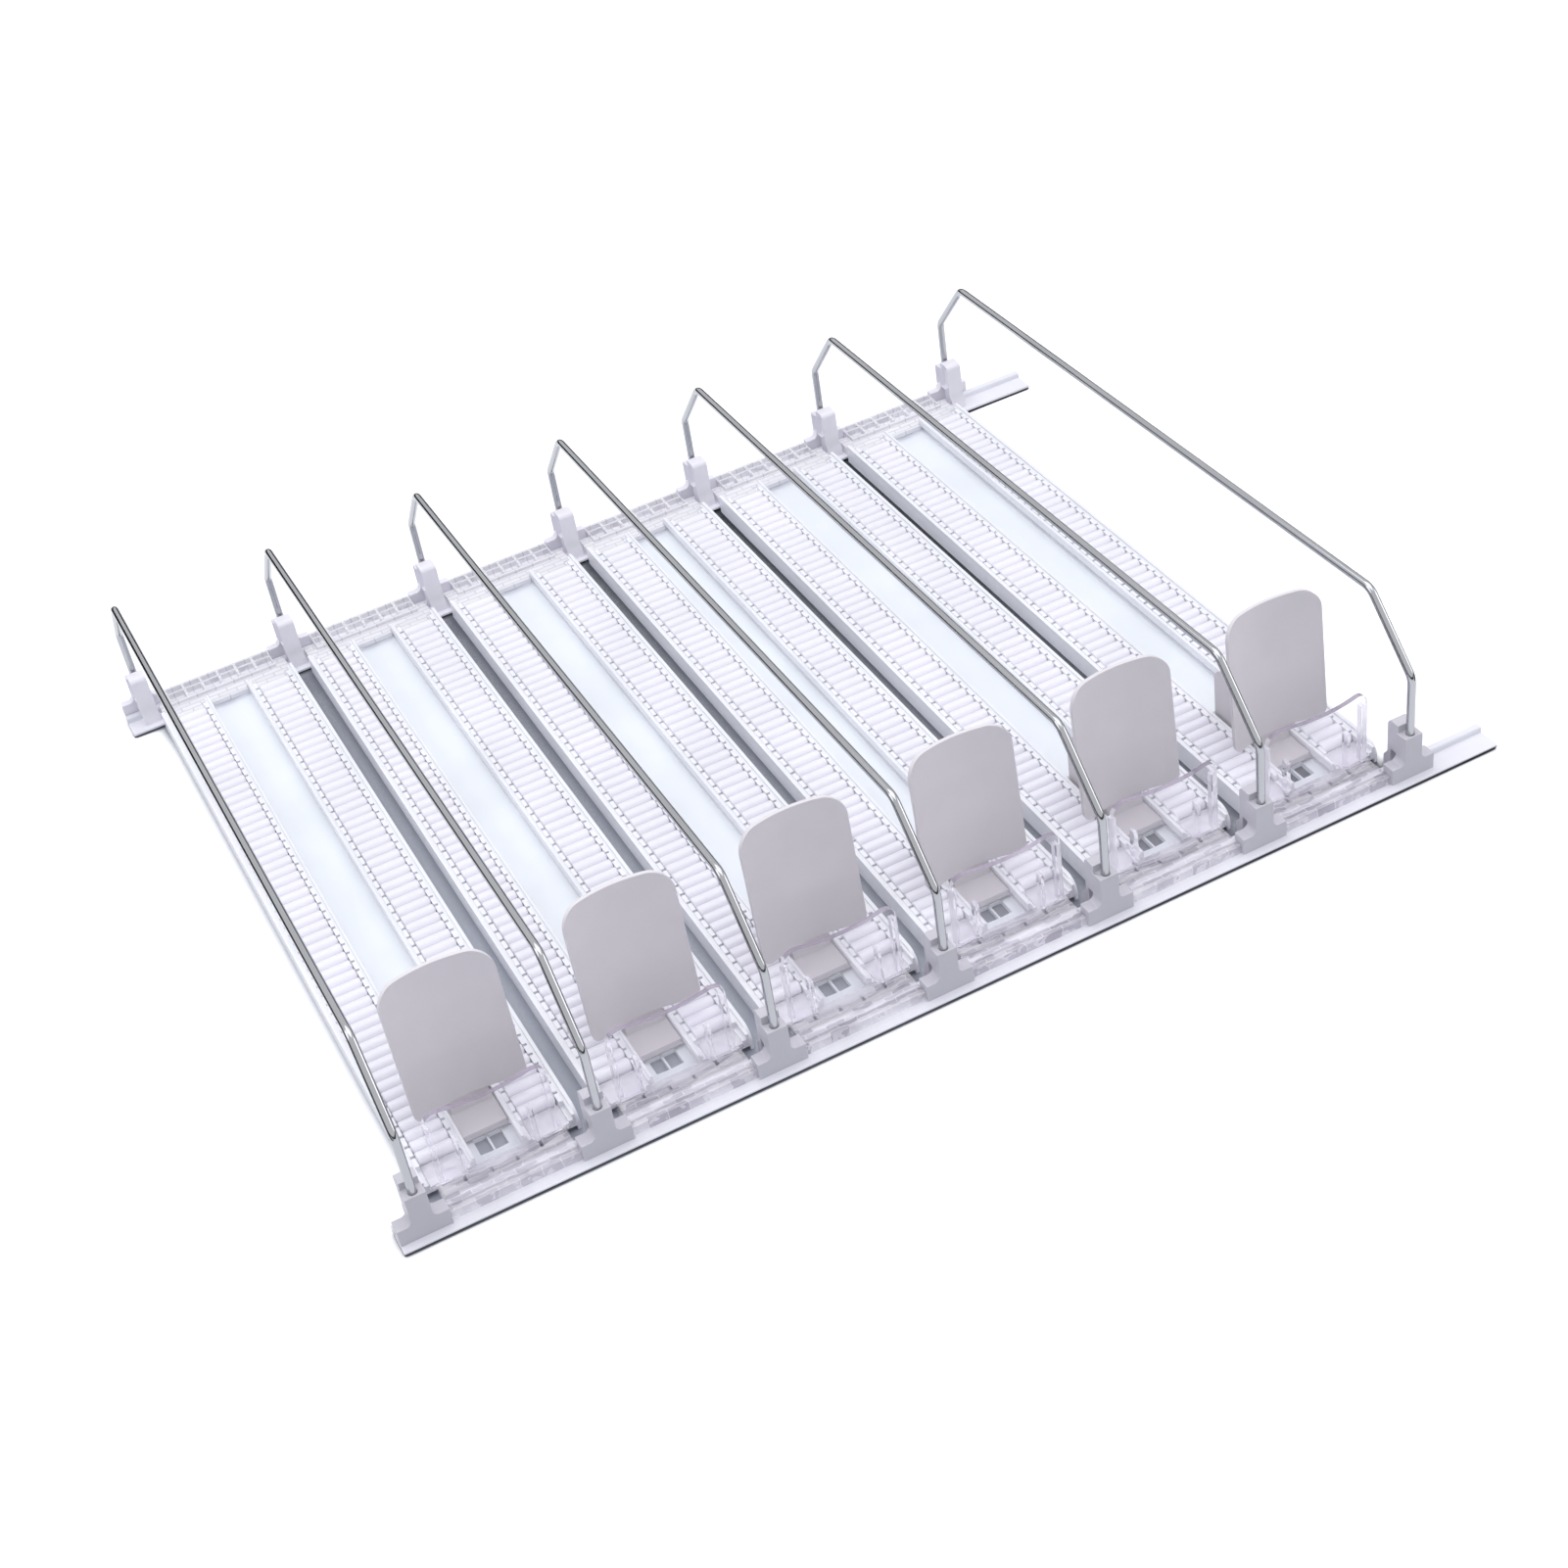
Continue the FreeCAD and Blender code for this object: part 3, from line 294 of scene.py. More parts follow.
GAP_REACH = 0.03
GAP_CLOSED, GAP_OPEN = 0.42, 0.60
BOUNCED_TONE = (0.58, 0.59, 0.62, 1)
OPEN_TONE = (0.94, 0.94, 0.95, 1)
GLOW_TONE = (0.22, 0.22, 0.22, 1)
# Painted shade: the floor's grey between walls, deepening toward the right and the rear.
GAP_LIGHT, GAP_DARK = (0.38, 0.40, 0.46, 1), (0.06, 0.065, 0.075, 1)
DARKENING_WAY = (1.7, 1.3, 0)
DARKENING_START, DARKENING_END = -0.34, 0.30
TRACKS_END = 0.178
floor_paint = bpy.data.materials.new("floor_paint")
tree, nodes, links = node_tree(floor_paint)
bounced = nodes.new("ShaderNodeBsdfDiffuse")
bounced.inputs["Color"].default_value = BOUNCED_TONE
openness = nodes.new("ShaderNodeAmbientOcclusion")
openness.samples = 24
openness.inputs["Distance"].default_value = GAP_REACH
open_floor = nodes.new("ShaderNodeMapRange")
open_floor.inputs["From Min"].default_value = GAP_CLOSED
open_floor.inputs["From Max"].default_value = GAP_OPEN
links.new(openness.outputs["AO"], open_floor.inputs["Value"])
place = nodes.new("ShaderNodeTexCoord")
toward_rear = nodes.new("ShaderNodeVectorMath")
toward_rear.operation = "DOT_PRODUCT"
toward_rear.inputs[1].default_value = DARKENING_WAY
links.new(place.outputs["Object"], toward_rear.inputs[0])
depth = nodes.new("ShaderNodeMapRange")
depth.inputs["From Min"].default_value = DARKENING_START
depth.inputs["From Max"].default_value = DARKENING_END
links.new(toward_rear.outputs["Value"], depth.inputs["Value"])
split = nodes.new("ShaderNodeSeparateXYZ")
links.new(place.outputs["Object"], split.inputs[0])
beyond = nodes.new("ShaderNodeMath")
beyond.operation = "GREATER_THAN"
links.new(split.outputs["Y"], beyond.inputs[0])
beyond.inputs[1].default_value = TRACKS_END
whiter = nodes.new("ShaderNodeMath")
whiter.operation = "MAXIMUM"
links.new(open_floor.outputs["Result"], whiter.inputs[0])
links.new(beyond.outputs[0], whiter.inputs[1])
painted_gap_shade = nodes.new("ShaderNodeValToRGB")
painted_gap_shade.color_ramp.elements[0].color = GAP_LIGHT
painted_gap_shade.color_ramp.elements[1].color = GAP_DARK
links.new(depth.outputs["Result"], painted_gap_shade.inputs["Fac"])
shade = nodes.new("ShaderNodeMix")
shade.data_type = "RGBA"
links.new(whiter.outputs[0], shade.inputs["Factor"])
links.new(painted_gap_shade.outputs["Color"], shade.inputs["A"])
shade.inputs["B"].default_value = OPEN_TONE
direct = nodes.new("ShaderNodeBsdfDiffuse")
links.new(shade.outputs["Result"], direct.inputs["Color"])
glow = nodes.new("ShaderNodeEmission")
links.new(whiter.outputs[0], glow.inputs["Strength"])
glow.inputs["Color"].default_value = GLOW_TONE
lit = nodes.new("ShaderNodeAddShader")
links.new(direct.outputs[0], lit.inputs[0])
links.new(glow.outputs[0], lit.inputs[1])
mix = nodes.new("ShaderNodeMixShader")
links.new(seen_directly(nodes, links), mix.inputs[0])
links.new(bounced.outputs[0], mix.inputs[1])
links.new(lit.outputs[0], mix.inputs[2])
output = nodes.new("ShaderNodeOutputMaterial")
links.new(mix.outputs[0], output.inputs[0])

FLOOR_HALF = 6.0
FLOOR_LEVEL = -0.0002
corners = [(x * FLOOR_HALF, y * FLOOR_HALF, FLOOR_LEVEL)
           for x, y in ((-1, -1), (1, -1), (1, 1), (-1, 1))]
mesh = bpy.data.meshes.new("floor")
mesh.from_pydata(corners, [], [(0, 1, 2, 3)])
mesh.materials.append(floor_paint)
floor = bpy.data.objects.new("floor", mesh)
scene.collection.objects.link(floor)


def soft_box(name, place, width, depth, power, colour):
    """A rectangular lamp at a place, facing the middle of the floor."""
    lamp = bpy.data.lights.new(name, "AREA")
    lamp.shape = "RECTANGLE"
    lamp.size = width
    lamp.size_y = depth
    lamp.energy = power
    lamp.color = colour
    box = bpy.data.objects.new(name, lamp)
    facing = Vector(place).to_track_quat("Z", "Y").to_matrix().to_4x4()
    box.matrix_world = Matrix.Translation(place) @ facing
    scene.collection.objects.link(box)


soft_box("top_box", (0.1, 0.15, 1.7), 2.0, 1.6, 15.0, (1.0, 0.99, 0.98))
soft_box("right_box", (1.6, -0.7, 0.7), 0.9, 0.9, 5.0, (1.0, 0.98, 0.97))
soft_box("left_box", (-1.5, 0.1, 1.1), 1.0, 1.0, 4.5, (0.98, 0.99, 1.0))

dark_card = bpy.data.materials.new("dark_card")
tree, nodes, links = node_tree(dark_card)
card_black = nodes.new("ShaderNodeEmission")
card_black.inputs["Color"].default_value = (0.015, 0.015, 0.018, 1)
output = nodes.new("ShaderNodeOutputMaterial")
links.new(card_black.outputs[0], output.inputs[0])


def card(name, corners):
    """A dark card of four corners that only mirrored rays can see."""
    mesh = bpy.data.meshes.new(name)
    mesh.from_pydata(corners, [], [(0, 1, 2, 3)])
    mesh.materials.append(dark_card)
    flag = bpy.data.objects.new(name, mesh)
    scene.collection.objects.link(flag)
    for ray in ("camera", "diffuse", "transmission", "shadow", "volume_scatter"):
        setattr(flag, "visible_" + ray, False)


LIFT = 0.001
NEAR, FAR, TALL = -0.5, 2.6, 1.0
for side, left, right_end in (("right", 0.34, FAR), ("left", -FAR, -0.38)):
    card("card_" + side, [(left, NEAR, LIFT), (right_end, NEAR, LIFT),
                          (right_end, FAR, LIFT), (left, FAR, LIFT)])
for side, left, right_end in (("left", -FAR, -0.5), ("right", 0.5, FAR)):
    card("card_behind_" + side, [(left, FAR, 0), (right_end, FAR, 0),
                                 (right_end, FAR, TALL), (left, FAR, TALL)])

# %% [markdown]
# ## Finishes
# White moulded plastic is not one flat colour. Its gloss varies a little from the mould, and
# its surface has a fine grain. Both come from noise on the piece's own coordinates, fed to the
# roughness and to a weak bump. Clear plastic lets light through, so only a faint tint and its
# edges show. It bends light less here than real plastic does, so that what lies behind a thin
# wall keeps its shape, and a coat brings back the gloss that this costs. Blender takes a body
# that bends light as opaque on the way to a lamp, which turns all that lies under it black.
# So the clear parts are simply transparent for those rays. Rows of cells under a clear surface
# show through it as small bricks of light and shade, and that light and shade is painted into
# those finishes as bricks. A paddle's colour is darkened toward its foot as painted shade, where
# it faces the stop. The front clips get a darker copy of the clips' white plastic as painted
# shade. Bright wire mirrors its surroundings.

# %% Finishes
SLOW_SCALE = 22
GRAIN_DEPTH = 0.0002
DRIFT_SCALE = 160


def grainy(name, colour, roughness, spread, grain_scale, grain, colour_spread=0.03, **sockets):
    """A finish whose colour, roughness and bump vary with noise in object space.

    Extra words set the shader's own sockets: Metallic=1.0 sets Metallic.
    """
    material = bpy.data.materials.new(name)
    tree, nodes, links = node_tree(material)
    place = nodes.new("ShaderNodeTexCoord")
    slow = nodes.new("ShaderNodeTexNoise")
    slow.inputs["Scale"].default_value = SLOW_SCALE
    slow.inputs["Detail"].default_value = 3
    links.new(place.outputs["Object"], slow.inputs["Vector"])
    tone = nodes.new("ShaderNodeValToRGB")
    low = [channel * (1 - colour_spread) for channel in colour]
    high = [min(1, channel * (1 + colour_spread)) for channel in colour]
    tone.color_ramp.elements[0].position = 0.35
    tone.color_ramp.elements[0].color = (*low, 1)
    tone.color_ramp.elements[1].position = 0.65
    tone.color_ramp.elements[1].color = (*high, 1)
    links.new(slow.outputs["Fac"], tone.inputs["Fac"])
    sheen = nodes.new("ShaderNodeMapRange")
    sheen.inputs["To Min"].default_value = roughness - spread
    sheen.inputs["To Max"].default_value = roughness + spread
    links.new(slow.outputs["Fac"], sheen.inputs["Value"])
    fine = nodes.new("ShaderNodeTexNoise")
    fine.inputs["Scale"].default_value = grain_scale
    fine.inputs["Detail"].default_value = 2
    links.new(place.outputs["Object"], fine.inputs["Vector"])
    bump = nodes.new("ShaderNodeBump")
    bump.inputs["Strength"].default_value = grain
    bump.inputs["Distance"].default_value = GRAIN_DEPTH
    links.new(fine.outputs["Fac"], bump.inputs["Height"])
    shader = nodes.new("ShaderNodeBsdfPrincipled")
    for socket, number in sockets.items():
        shader.inputs[socket.replace("_", " ")].default_value = number
    links.new(tone.outputs["Color"], shader.inputs["Base Color"])
    links.new(sheen.outputs["Result"], shader.inputs["Roughness"])
    links.new(bump.outputs["Normal"], shader.inputs["Normal"])
    output = nodes.new("ShaderNodeOutputMaterial")
    links.new(shader.outputs[0], output.inputs["Surface"])
    return material


def let_lamps_through(material, passed):
    """Mixes a transparent shader into a clear finish for rays on their way to a lamp."""
    nodes, links = material.node_tree.nodes, material.node_tree.links
    output = nodes["Material Output"]
    shader = output.inputs["Surface"].links[0].from_socket
    path = nodes.new("ShaderNodeLightPath")
    open_way = nodes.new("ShaderNodeBsdfTransparent")
    open_way.inputs["Color"].default_value = passed
    mix = nodes.new("ShaderNodeMixShader")
    links.new(path.outputs["Is Shadow Ray"], mix.inputs[0])
    links.new(shader, mix.inputs[1])
    links.new(open_way.outputs[0], mix.inputs[2])
    links.new(mix.outputs[0], output.inputs["Surface"])


rail_plastic = grainy("rail_plastic", (0.84, 0.84, 0.90), 0.34, 0.06, 900, 0.10)
# The front clips' plastic is a darker copy of the rear clips' white plastic: painted shade.
clip_plastic = grainy("clip_plastic", (0.63, 0.62, 0.675), 0.38, 0.06, 1400, 0.12)
rear_clip_plastic = grainy("rear_clip_plastic", (0.89, 0.875, 0.94), 0.38, 0.06, 1400, 0.12)
track_plastic = grainy("track_plastic", (0.88, 0.885, 0.93), 0.36, 0.06, 1200, 0.10)
channel_plastic = grainy("channel_plastic", (0.85, 0.885, 0.93), 0.30, 0.06, 1200, 0.06)
roller_plastic = grainy("roller_plastic", (0.87, 0.86, 0.93), 0.34, 0.05, 1600, 0.08)
pusher_plastic = grainy("pusher_plastic", (0.785, 0.75, 0.785), 0.45, 0.05, 1800, 0.16)
strip_rubber = grainy("strip_rubber", (0.016, 0.019, 0.027), 0.60, 0.08, 2600, 0.4)
spring_steel = grainy("spring_steel", (0.46, 0.43, 0.40), 0.28, 0.08, 1500, 0.2, Metallic=1.0)
wire_metal = grainy("wire_metal", (0.42, 0.43, 0.455), 0.09, 0.03, 2200, 0.08, Metallic=1.0)
CLEAR = dict(IOR=1.06, Coat_Weight=0.7, Coat_Roughness=0.05, Coat_IOR=1.4)
clear_plastic = grainy("clear_plastic", (0.95, 0.94, 0.97), 0.03, 0.01, 300, 0.0,
                       colour_spread=0.004, Transmission_Weight=0.96, **CLEAR)
# Painted shade and highlight: the rim's dark lavender and the ends' milkier white stand for the
# lines seen along a clear wall.
rim_painted_shade = grainy("rim_painted_shade", (0.41, 0.36, 0.45), 0.16, 0.05, 500, 0.0,
                   colour_spread=0.20, Transmission_Weight=0.35, **CLEAR)
end_painted_highlight = grainy("end_painted_highlight", (0.93, 0.92, 0.97), 0.12, 0.05, 500, 0.0,
                   colour_spread=0.03, Transmission_Weight=0.55, **CLEAR)
cell_base = grainy("cell_base", (0.90, 0.895, 0.92), 0.10, 0.04, 260, 0.0,
                   colour_spread=0.04, Transmission_Weight=0.66, **CLEAR)
cell_link = grainy("cell_link", (0.885, 0.88, 0.915), 0.25, 0.06, 260, 0.0,
                   colour_spread=0.03, Transmission_Weight=0.15, **CLEAR)
for clear in (clear_plastic, rim_painted_shade, end_painted_highlight, cell_base, cell_link):
    let_lamps_through(clear, (0.95, 0.94, 0.97, 1))


def brick_tint(material, dark, seam, length, depth, wander):
    """Tints a finish in bricks, as light does that is bent by rows of cells under a surface.

    The bricks lie along X with the given length and depth in metres. Noise moves them aside by
    up to half of `wander`, so that their seams are not ruled lines.
    """
    nodes, links = material.node_tree.nodes, material.node_tree.links
    shader = nodes["Principled BSDF"]
    plain = shader.inputs["Base Color"].links[0].from_socket
    place = nodes.new("ShaderNodeTexCoord")
    drift = nodes.new("ShaderNodeTexNoise")
    drift.inputs["Scale"].default_value = DRIFT_SCALE
    links.new(place.outputs["Object"], drift.inputs["Vector"])
    aside = nodes.new("ShaderNodeVectorMath")
    aside.operation = "MULTIPLY_ADD"
    links.new(drift.outputs["Color"], aside.inputs[0])
    aside.inputs[1].default_value = (wander, wander, wander)
    links.new(place.outputs["Object"], aside.inputs[2])
    brick = nodes.new("ShaderNodeTexBrick")
    brick.inputs["Scale"].default_value = 1.0
    brick.inputs["Brick Width"].default_value = length
    brick.inputs["Row Height"].default_value = depth
    brick.inputs["Mortar Size"].default_value = 0.12 * depth
    brick.inputs["Mortar Smooth"].default_value = 0.3
    brick.inputs["Bias"].default_value = -0.15
    links.new(aside.outputs["Vector"], brick.inputs["Vector"])
    links.new(plain, brick.inputs["Color1"])
    brick.inputs["Color2"].default_value = (*dark, 1)
    brick.inputs["Mortar"].default_value = (*seam, 1)
    links.new(brick.outputs["Color"], shader.inputs["Base Color"])


brick_tint(cell_base, (0.52, 0.50, 0.56), (0.97, 0.97, 0.98), 8.5 * MM, 2.1 * MM, 3.4 * MM)
brick_tint(cell_link, (0.82, 0.815, 0.86), (0.70, 0.695, 0.74), 9.0 * MM, 3.0 * MM, 1.6 * MM)


def painted_shade_below(material, low, high, share):
    """Paints shade into a finish: darkens its colour from a level down to a lower one, where it
    faces what is near it.
    """
    nodes, links = material.node_tree.nodes, material.node_tree.links
    shader = nodes["Principled BSDF"]
    plain = shader.inputs["Base Color"].links[0].from_socket
    place = nodes.new("ShaderNodeTexCoord")
    split = nodes.new("ShaderNodeSeparateXYZ")
    links.new(place.outputs["Object"], split.inputs[0])
    level = nodes.new("ShaderNodeMapRange")
    level.inputs["From Min"].default_value = low
    level.inputs["From Max"].default_value = high
    level.inputs["To Min"].default_value = share
    links.new(split.outputs["Z"], level.inputs["Value"])
    dim = nodes.new("ShaderNodeVectorMath")
    dim.operation = "SCALE"
    links.new(plain, dim.inputs[0])
    links.new(level.outputs["Result"], dim.inputs["Scale"])
    links.new(dim.outputs["Vector"], shader.inputs["Base Color"])


# Painted shade: each paddle's colour is darkened toward its foot.
PADDLE_DARK, PADDLE_LIGHT, PADDLE_SHARE = 12 * MM, 62 * MM, 0.78
painted_shade_below(pusher_plastic, PADDLE_DARK, PADDLE_LIGHT, PADDLE_SHARE)

# %% [markdown]
# ## Pieces that keep their form
# Clips, rails, stops, connectors and pushers have the right shape already, but their edges
# are sharp as a knife. No moulded part is, and a rounded edge is what catches the light. A
# copy of the measured mesh is welded, its flat faces are merged, and a small bevel rounds
# every true corner. Bevelling by angle leaves the smooth curves alone. On the way, the front
# rail's foot turns dark, and the posts of the rear clips get a sunk panel at each side.

# %% Rounded copies
WELD = 0.002 * MM
FLAT = np.radians(1.0)
FOOT_TOP = 1.35 * MM
POST_LOW, POST_PANEL, PANEL_FRAME, PANEL_DEPTH = 8.0 * MM, 40 * MM ** 2, 1.3 * MM, 2.2 * MM
RAIL_EDGE, FRONT_CLIP_EDGE, REAR_CLIP_EDGE, PUSHER_EDGE = 0.25 * MM, 0.35 * MM, 0.30 * MM, 0.3 * MM


def rounded_copy(node, width, materials, body="root", segments=2, angle=38, shaping=None):
    """A welded copy of a measured piece with its sharp edges rounded by a bevel.

    `shaping` may change the welded mesh, such as by moving points or giving faces another of
    the materials. Normals are weighted by the faces' areas, so that a bevel never bends the
    look of the large face next to it.
    """
    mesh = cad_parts[node].data.copy()
    mesh.materials.clear()
    for material in materials:
        mesh.materials.append(material)
    work = bmesh.new()
    work.from_mesh(mesh)
    bmesh.ops.remove_doubles(work, verts=work.verts, dist=WELD)
    bmesh.ops.dissolve_limit(work, angle_limit=FLAT, verts=work.verts, edges=work.edges)
    if shaping:
        shaping(work)
    work.to_mesh(mesh)
    work.free()
    mesh.shade_smooth()
    mesh.set_sharp_from_angle(angle=np.radians(angle))
    piece = bpy.data.objects.new(node + "_fine", mesh)
    scene.collection.objects.link(piece)
    bevel = piece.modifiers.new("edges", "BEVEL")
    bevel.width = width
    bevel.segments = segments
    bevel.limit_method = "ANGLE"
    bevel.angle_limit = np.radians(angle)
    normals = piece.modifiers.new("normals", "WEIGHTED_NORMAL")
    normals.weight = 50
    normals.keep_sharp = True
    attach(piece, body)
    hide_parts(node)


def dark_foot(work):
    """Gives the lower part of a rail's edge the dark finish of the strip below it."""
    everything = work.verts[:] + work.edges[:] + work.faces[:]
    level = Vector((0, 0, FOOT_TOP))
    bmesh.ops.bisect_plane(work, geom=everything, plane_co=level, plane_no=Vector((0, 0, 1)))
    for face in work.faces:
        if face.calc_center_median().z < FOOT_TOP:
            face.material_index = 1


def cored_post(work):
    """Sinks a panel into both sides of a clip's post, which leaves flanges round it.

    Faces that bend inward are split afterwards, because a bevel would fold them over.
    """
    tall = [face for face in work.faces if abs(face.normal.x) > 0.95
            and face.calc_center_median().z > POST_LOW and face.calc_area() > POST_PANEL]
    bmesh.ops.inset_individual(work, faces=tall, thickness=PANEL_FRAME)
    for face in tall:
        for vertex in face.verts:
            vertex.co.x -= np.sign(face.normal.x) * PANEL_DEPTH
    bmesh.ops.connect_verts_concave(work, faces=work.faces)


rounded_copy("front_rail", RAIL_EDGE, [rail_plastic, strip_rubber], shaping=dark_foot)
rounded_copy("rear_rail", RAIL_EDGE, [rail_plastic])
for number in range(1, LANES + 2):
    rounded_copy(f"front_clip_{number}", FRONT_CLIP_EDGE, [clip_plastic])
    rounded_copy(f"rear_clip_{number}", REAR_CLIP_EDGE, [rear_clip_plastic],
                 shaping=cored_post)
for number in range(1, LANES + 1):
    rounded_copy(f"pusher_{number}", PUSHER_EDGE, [pusher_plastic], f"pusher_{number}")
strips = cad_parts["anti_slip_strips"]
strips.data.materials.clear()
strips.data.materials.append(strip_rubber)
print("rounded copies:", 2 + 2 * (LANES + 1) + LANES)

# %% [markdown]
# ## Clear stops and connectors
# Clear plastic shows every flaw, because what lies behind it is seen twice bent. A bowed wall
# whose strips differ in width would make straight edges look wavy, so its points are moved onto
# the true arcs and its strips are left even. Looking along a clear wall shows dark and bright
# lines, and these are painted: the rim's upward faces get a dark lavender finish as painted
# shade, and the wall's ends and other upward faces a milkier one as painted highlight. The base
# and the connectors are moulded with rows of cells below, and their finishes have the cells'
# light and shade painted in as bricks. Nothing clear may touch what it rests on exactly,
# because a ray can't tell which of two surfaces in one place comes first. The undersides are
# lifted by the width of a hair.

# %% Clear stops and connectors
STOP_LIP, STOP_MID, STOP_BASE, STOP_RIM = 1.2 * MM, 8.0 * MM, 6.0 * MM, 40 * MM
STOP_HALF, STOP_SAG, STOP_WALL, STOP_END = 24.0 * MM, 4.0 * MM, 2.2 * MM, 3 * MM
CLEAR_EDGE = 0.25 * MM
ARC_REACH = 0.2 * MM
HAIR = 0.05 * MM
UNDERSIDE = 2.05 * MM
WALL_RADIUS = (STOP_HALF ** 2 + STOP_SAG ** 2) / (2 * STOP_SAG)


def lift_underside(work):
    """Raises the points of the underside by a hair."""
    for vertex in work.verts:
        if vertex.co.z < UNDERSIDE:
            vertex.co.z += HAIR


def true_arcs(middle, apex):
    """A shaping step that puts the bowed wall's points on two true arcs and sorts its faces.

    At x from the middle, an arc of radius r about the wall's centre lies at
    y = apex + wall radius - sqrt(r^2 - x^2). The front face has the wall radius, and the rear
    face has it less the wall.
    """
    def shape(work):
        for vertex in work.verts:
            x = vertex.co.x - middle
            if vertex.co.z < STOP_BASE - HAIR or abs(x) > STOP_HALF + HAIR:
                continue
            for radius in (WALL_RADIUS, WALL_RADIUS - STOP_WALL):
                y = apex + WALL_RADIUS - np.sqrt(radius ** 2 - x ** 2)
                if abs(vertex.co.y - y) < ARC_REACH:
                    vertex.co.y = y
        # Faces are sorted into finishes: the base's painted cells, the rim's painted shade, and
        # the painted highlight of the ends and other upward faces.
        for face in work.faces:
            centre = face.calc_center_median()
            end = abs(face.normal.x) > 0.8 and abs(centre.x - middle) > STOP_HALF - STOP_END
            if centre.z < STOP_BASE + HAIR:
                face.material_index = 3
            elif face.normal.z > 0.3 and centre.z > STOP_RIM:
                face.material_index = 1
            elif face.normal.z > 0.3 or end:
                face.material_index = 2
        lift_underside(work)
    return shape


def simple_faces(work):
    """Splits faces that bend inward, which a bevel would fold over, and lifts the underside."""
    bmesh.ops.connect_verts_concave(work, faces=work.faces)
    lift_underside(work)


for number in range(1, LANES + 1):
    low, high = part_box(f"front_stop_{number}")
    bow = true_arcs((low.x + high.x) / 2, low.y + STOP_LIP + STOP_MID)
    rounded_copy(f"front_stop_{number}", CLEAR_EDGE,
                 [clear_plastic, rim_painted_shade, end_painted_highlight, cell_base], shaping=bow)
    rounded_copy(f"rear_connector_{number}", CLEAR_EDGE, [cell_link],
                 shaping=simple_faces)
print("clear pieces:", 2 * LANES, "wall radius:", round(WALL_RADIUS / MM, 1), "mm")

# %% [markdown]
# ## Divider wires
# Each divider is one steel wire, bent four times. A tube along a rounded line is the natural
# form. The line is worked out in the wire's own plane from its corners, with a true arc at
# each bend, and the rings of the tube stand across it.

# %% Divider wires
WIRE_SIZE = 3.5 * MM
WIRE_BEND = 7.5 * MM
WIRE_SIDES = 20
WIRE_SMOOTH = 60
FRONT_BEND_UP, FRONT_RUN, FRONT_TOP = 50.3 * MM, 27.1 * MM, 78.7 * MM
REAR_BEND_UP, REAR_RUN, REAR_TOP = 46.4 * MM, 24.8 * MM, 74.9 * MM

for number in range(1, LANES + 2):
    low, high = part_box(f"divider_wire_{number}")
    middle = (low.x + high.x) / 2
    front = low.y + WIRE_SIZE / 2
    rear = high.y - WIRE_SIZE / 2
    corners = [(front, low.z), (front, FRONT_BEND_UP), (front + FRONT_RUN, FRONT_TOP),
               (rear - REAR_RUN, REAR_TOP), (rear, REAR_BEND_UP), (rear, low.z)]
    flat_line = rounded_line(corners, WIRE_BEND)
    line = np.column_stack([np.full(len(flat_line), middle), flat_line])
    make_piece(f"wire_{number}", [tube(line, WIRE_SIZE / 2, WIRE_SIDES)], wire_metal,
               stands_for=[f"divider_wire_{number}"], smooth_angle=WIRE_SMOOTH)
print("wires:", LANES + 1)

# %% [markdown]
# ## Tracks
# A track is a moulding with two beds for rollers and a channel between them. Its cross section
# does not change from front to rear, so the outline is carried along Y. Only the combs that
# hold the rollers' pins repeat along it: they are rows of small teeth with a slot at each
# roller. The teeth are one block, copied by adding an array of places, which costs no loop.
# The channel's floor has a smoother finish, so it is a piece of its own. The rollers are
# another: one turned profile, set down again and again along both beds.

# %% Tracks
CHANNEL_HALF, LIP, INNER_COMB, BED, OUTER_COMB, SIDE = (
    9.2 * MM, 1.2 * MM, 2.4 * MM, 15.0 * MM, 2.8 * MM, 1.4 * MM)
BED_IN = CHANNEL_HALF + LIP + INNER_COMB
BED_OUT = BED_IN + BED
COMB_OUT = BED_OUT + OUTER_COMB
LIP_TOP, BED_FLOOR, BED_UNDER, CHANNEL_FLOOR, CHANNEL_RISE = (
    9.4 * MM, 3.8 * MM, 2.2 * MM, 2.0 * MM, 0.9 * MM)
GROOVE_DEPTH, GROOVE_LOW, GROOVE_HIGH = 1.8 * MM, 3.2 * MM, 5.8 * MM
COMB_BASE, COMB_TOP = 6.0 * MM, 8.9 * MM
WALL_ROUND = 6.5 * MM
EDGE = 0.25 * MM
FLOOR_STEP = 2 * MM
PITCH = 6.0 * MM
FRONT_SEAT, REAR_SEAT = 10.5 * MM, 6.5 * MM
SLOT = 1.3 * MM
TEETH_OUT, TEETH_IN = 1.7 * MM, 1.5 * MM
LEDGE_TOP = 8.4 * MM
ROLLER_RADIUS, ROLLER_AXIS, ROLLER_HALF = 2.85 * MM, 6.75 * MM, 7.2 * MM
PIN_RADIUS, PIN_OUT, ROLLER_EDGE = 0.6 * MM, 1.5 * MM, 0.4 * MM
WINDOW_START, WINDOW_LENGTH, WINDOW_WIDTH, WINDOW_BAR = 6.7 * MM, 9.0 * MM, 5.2 * MM, 0.8 * MM
ROLLER_SIDES = 14
ROLLER_SMOOTH = 40


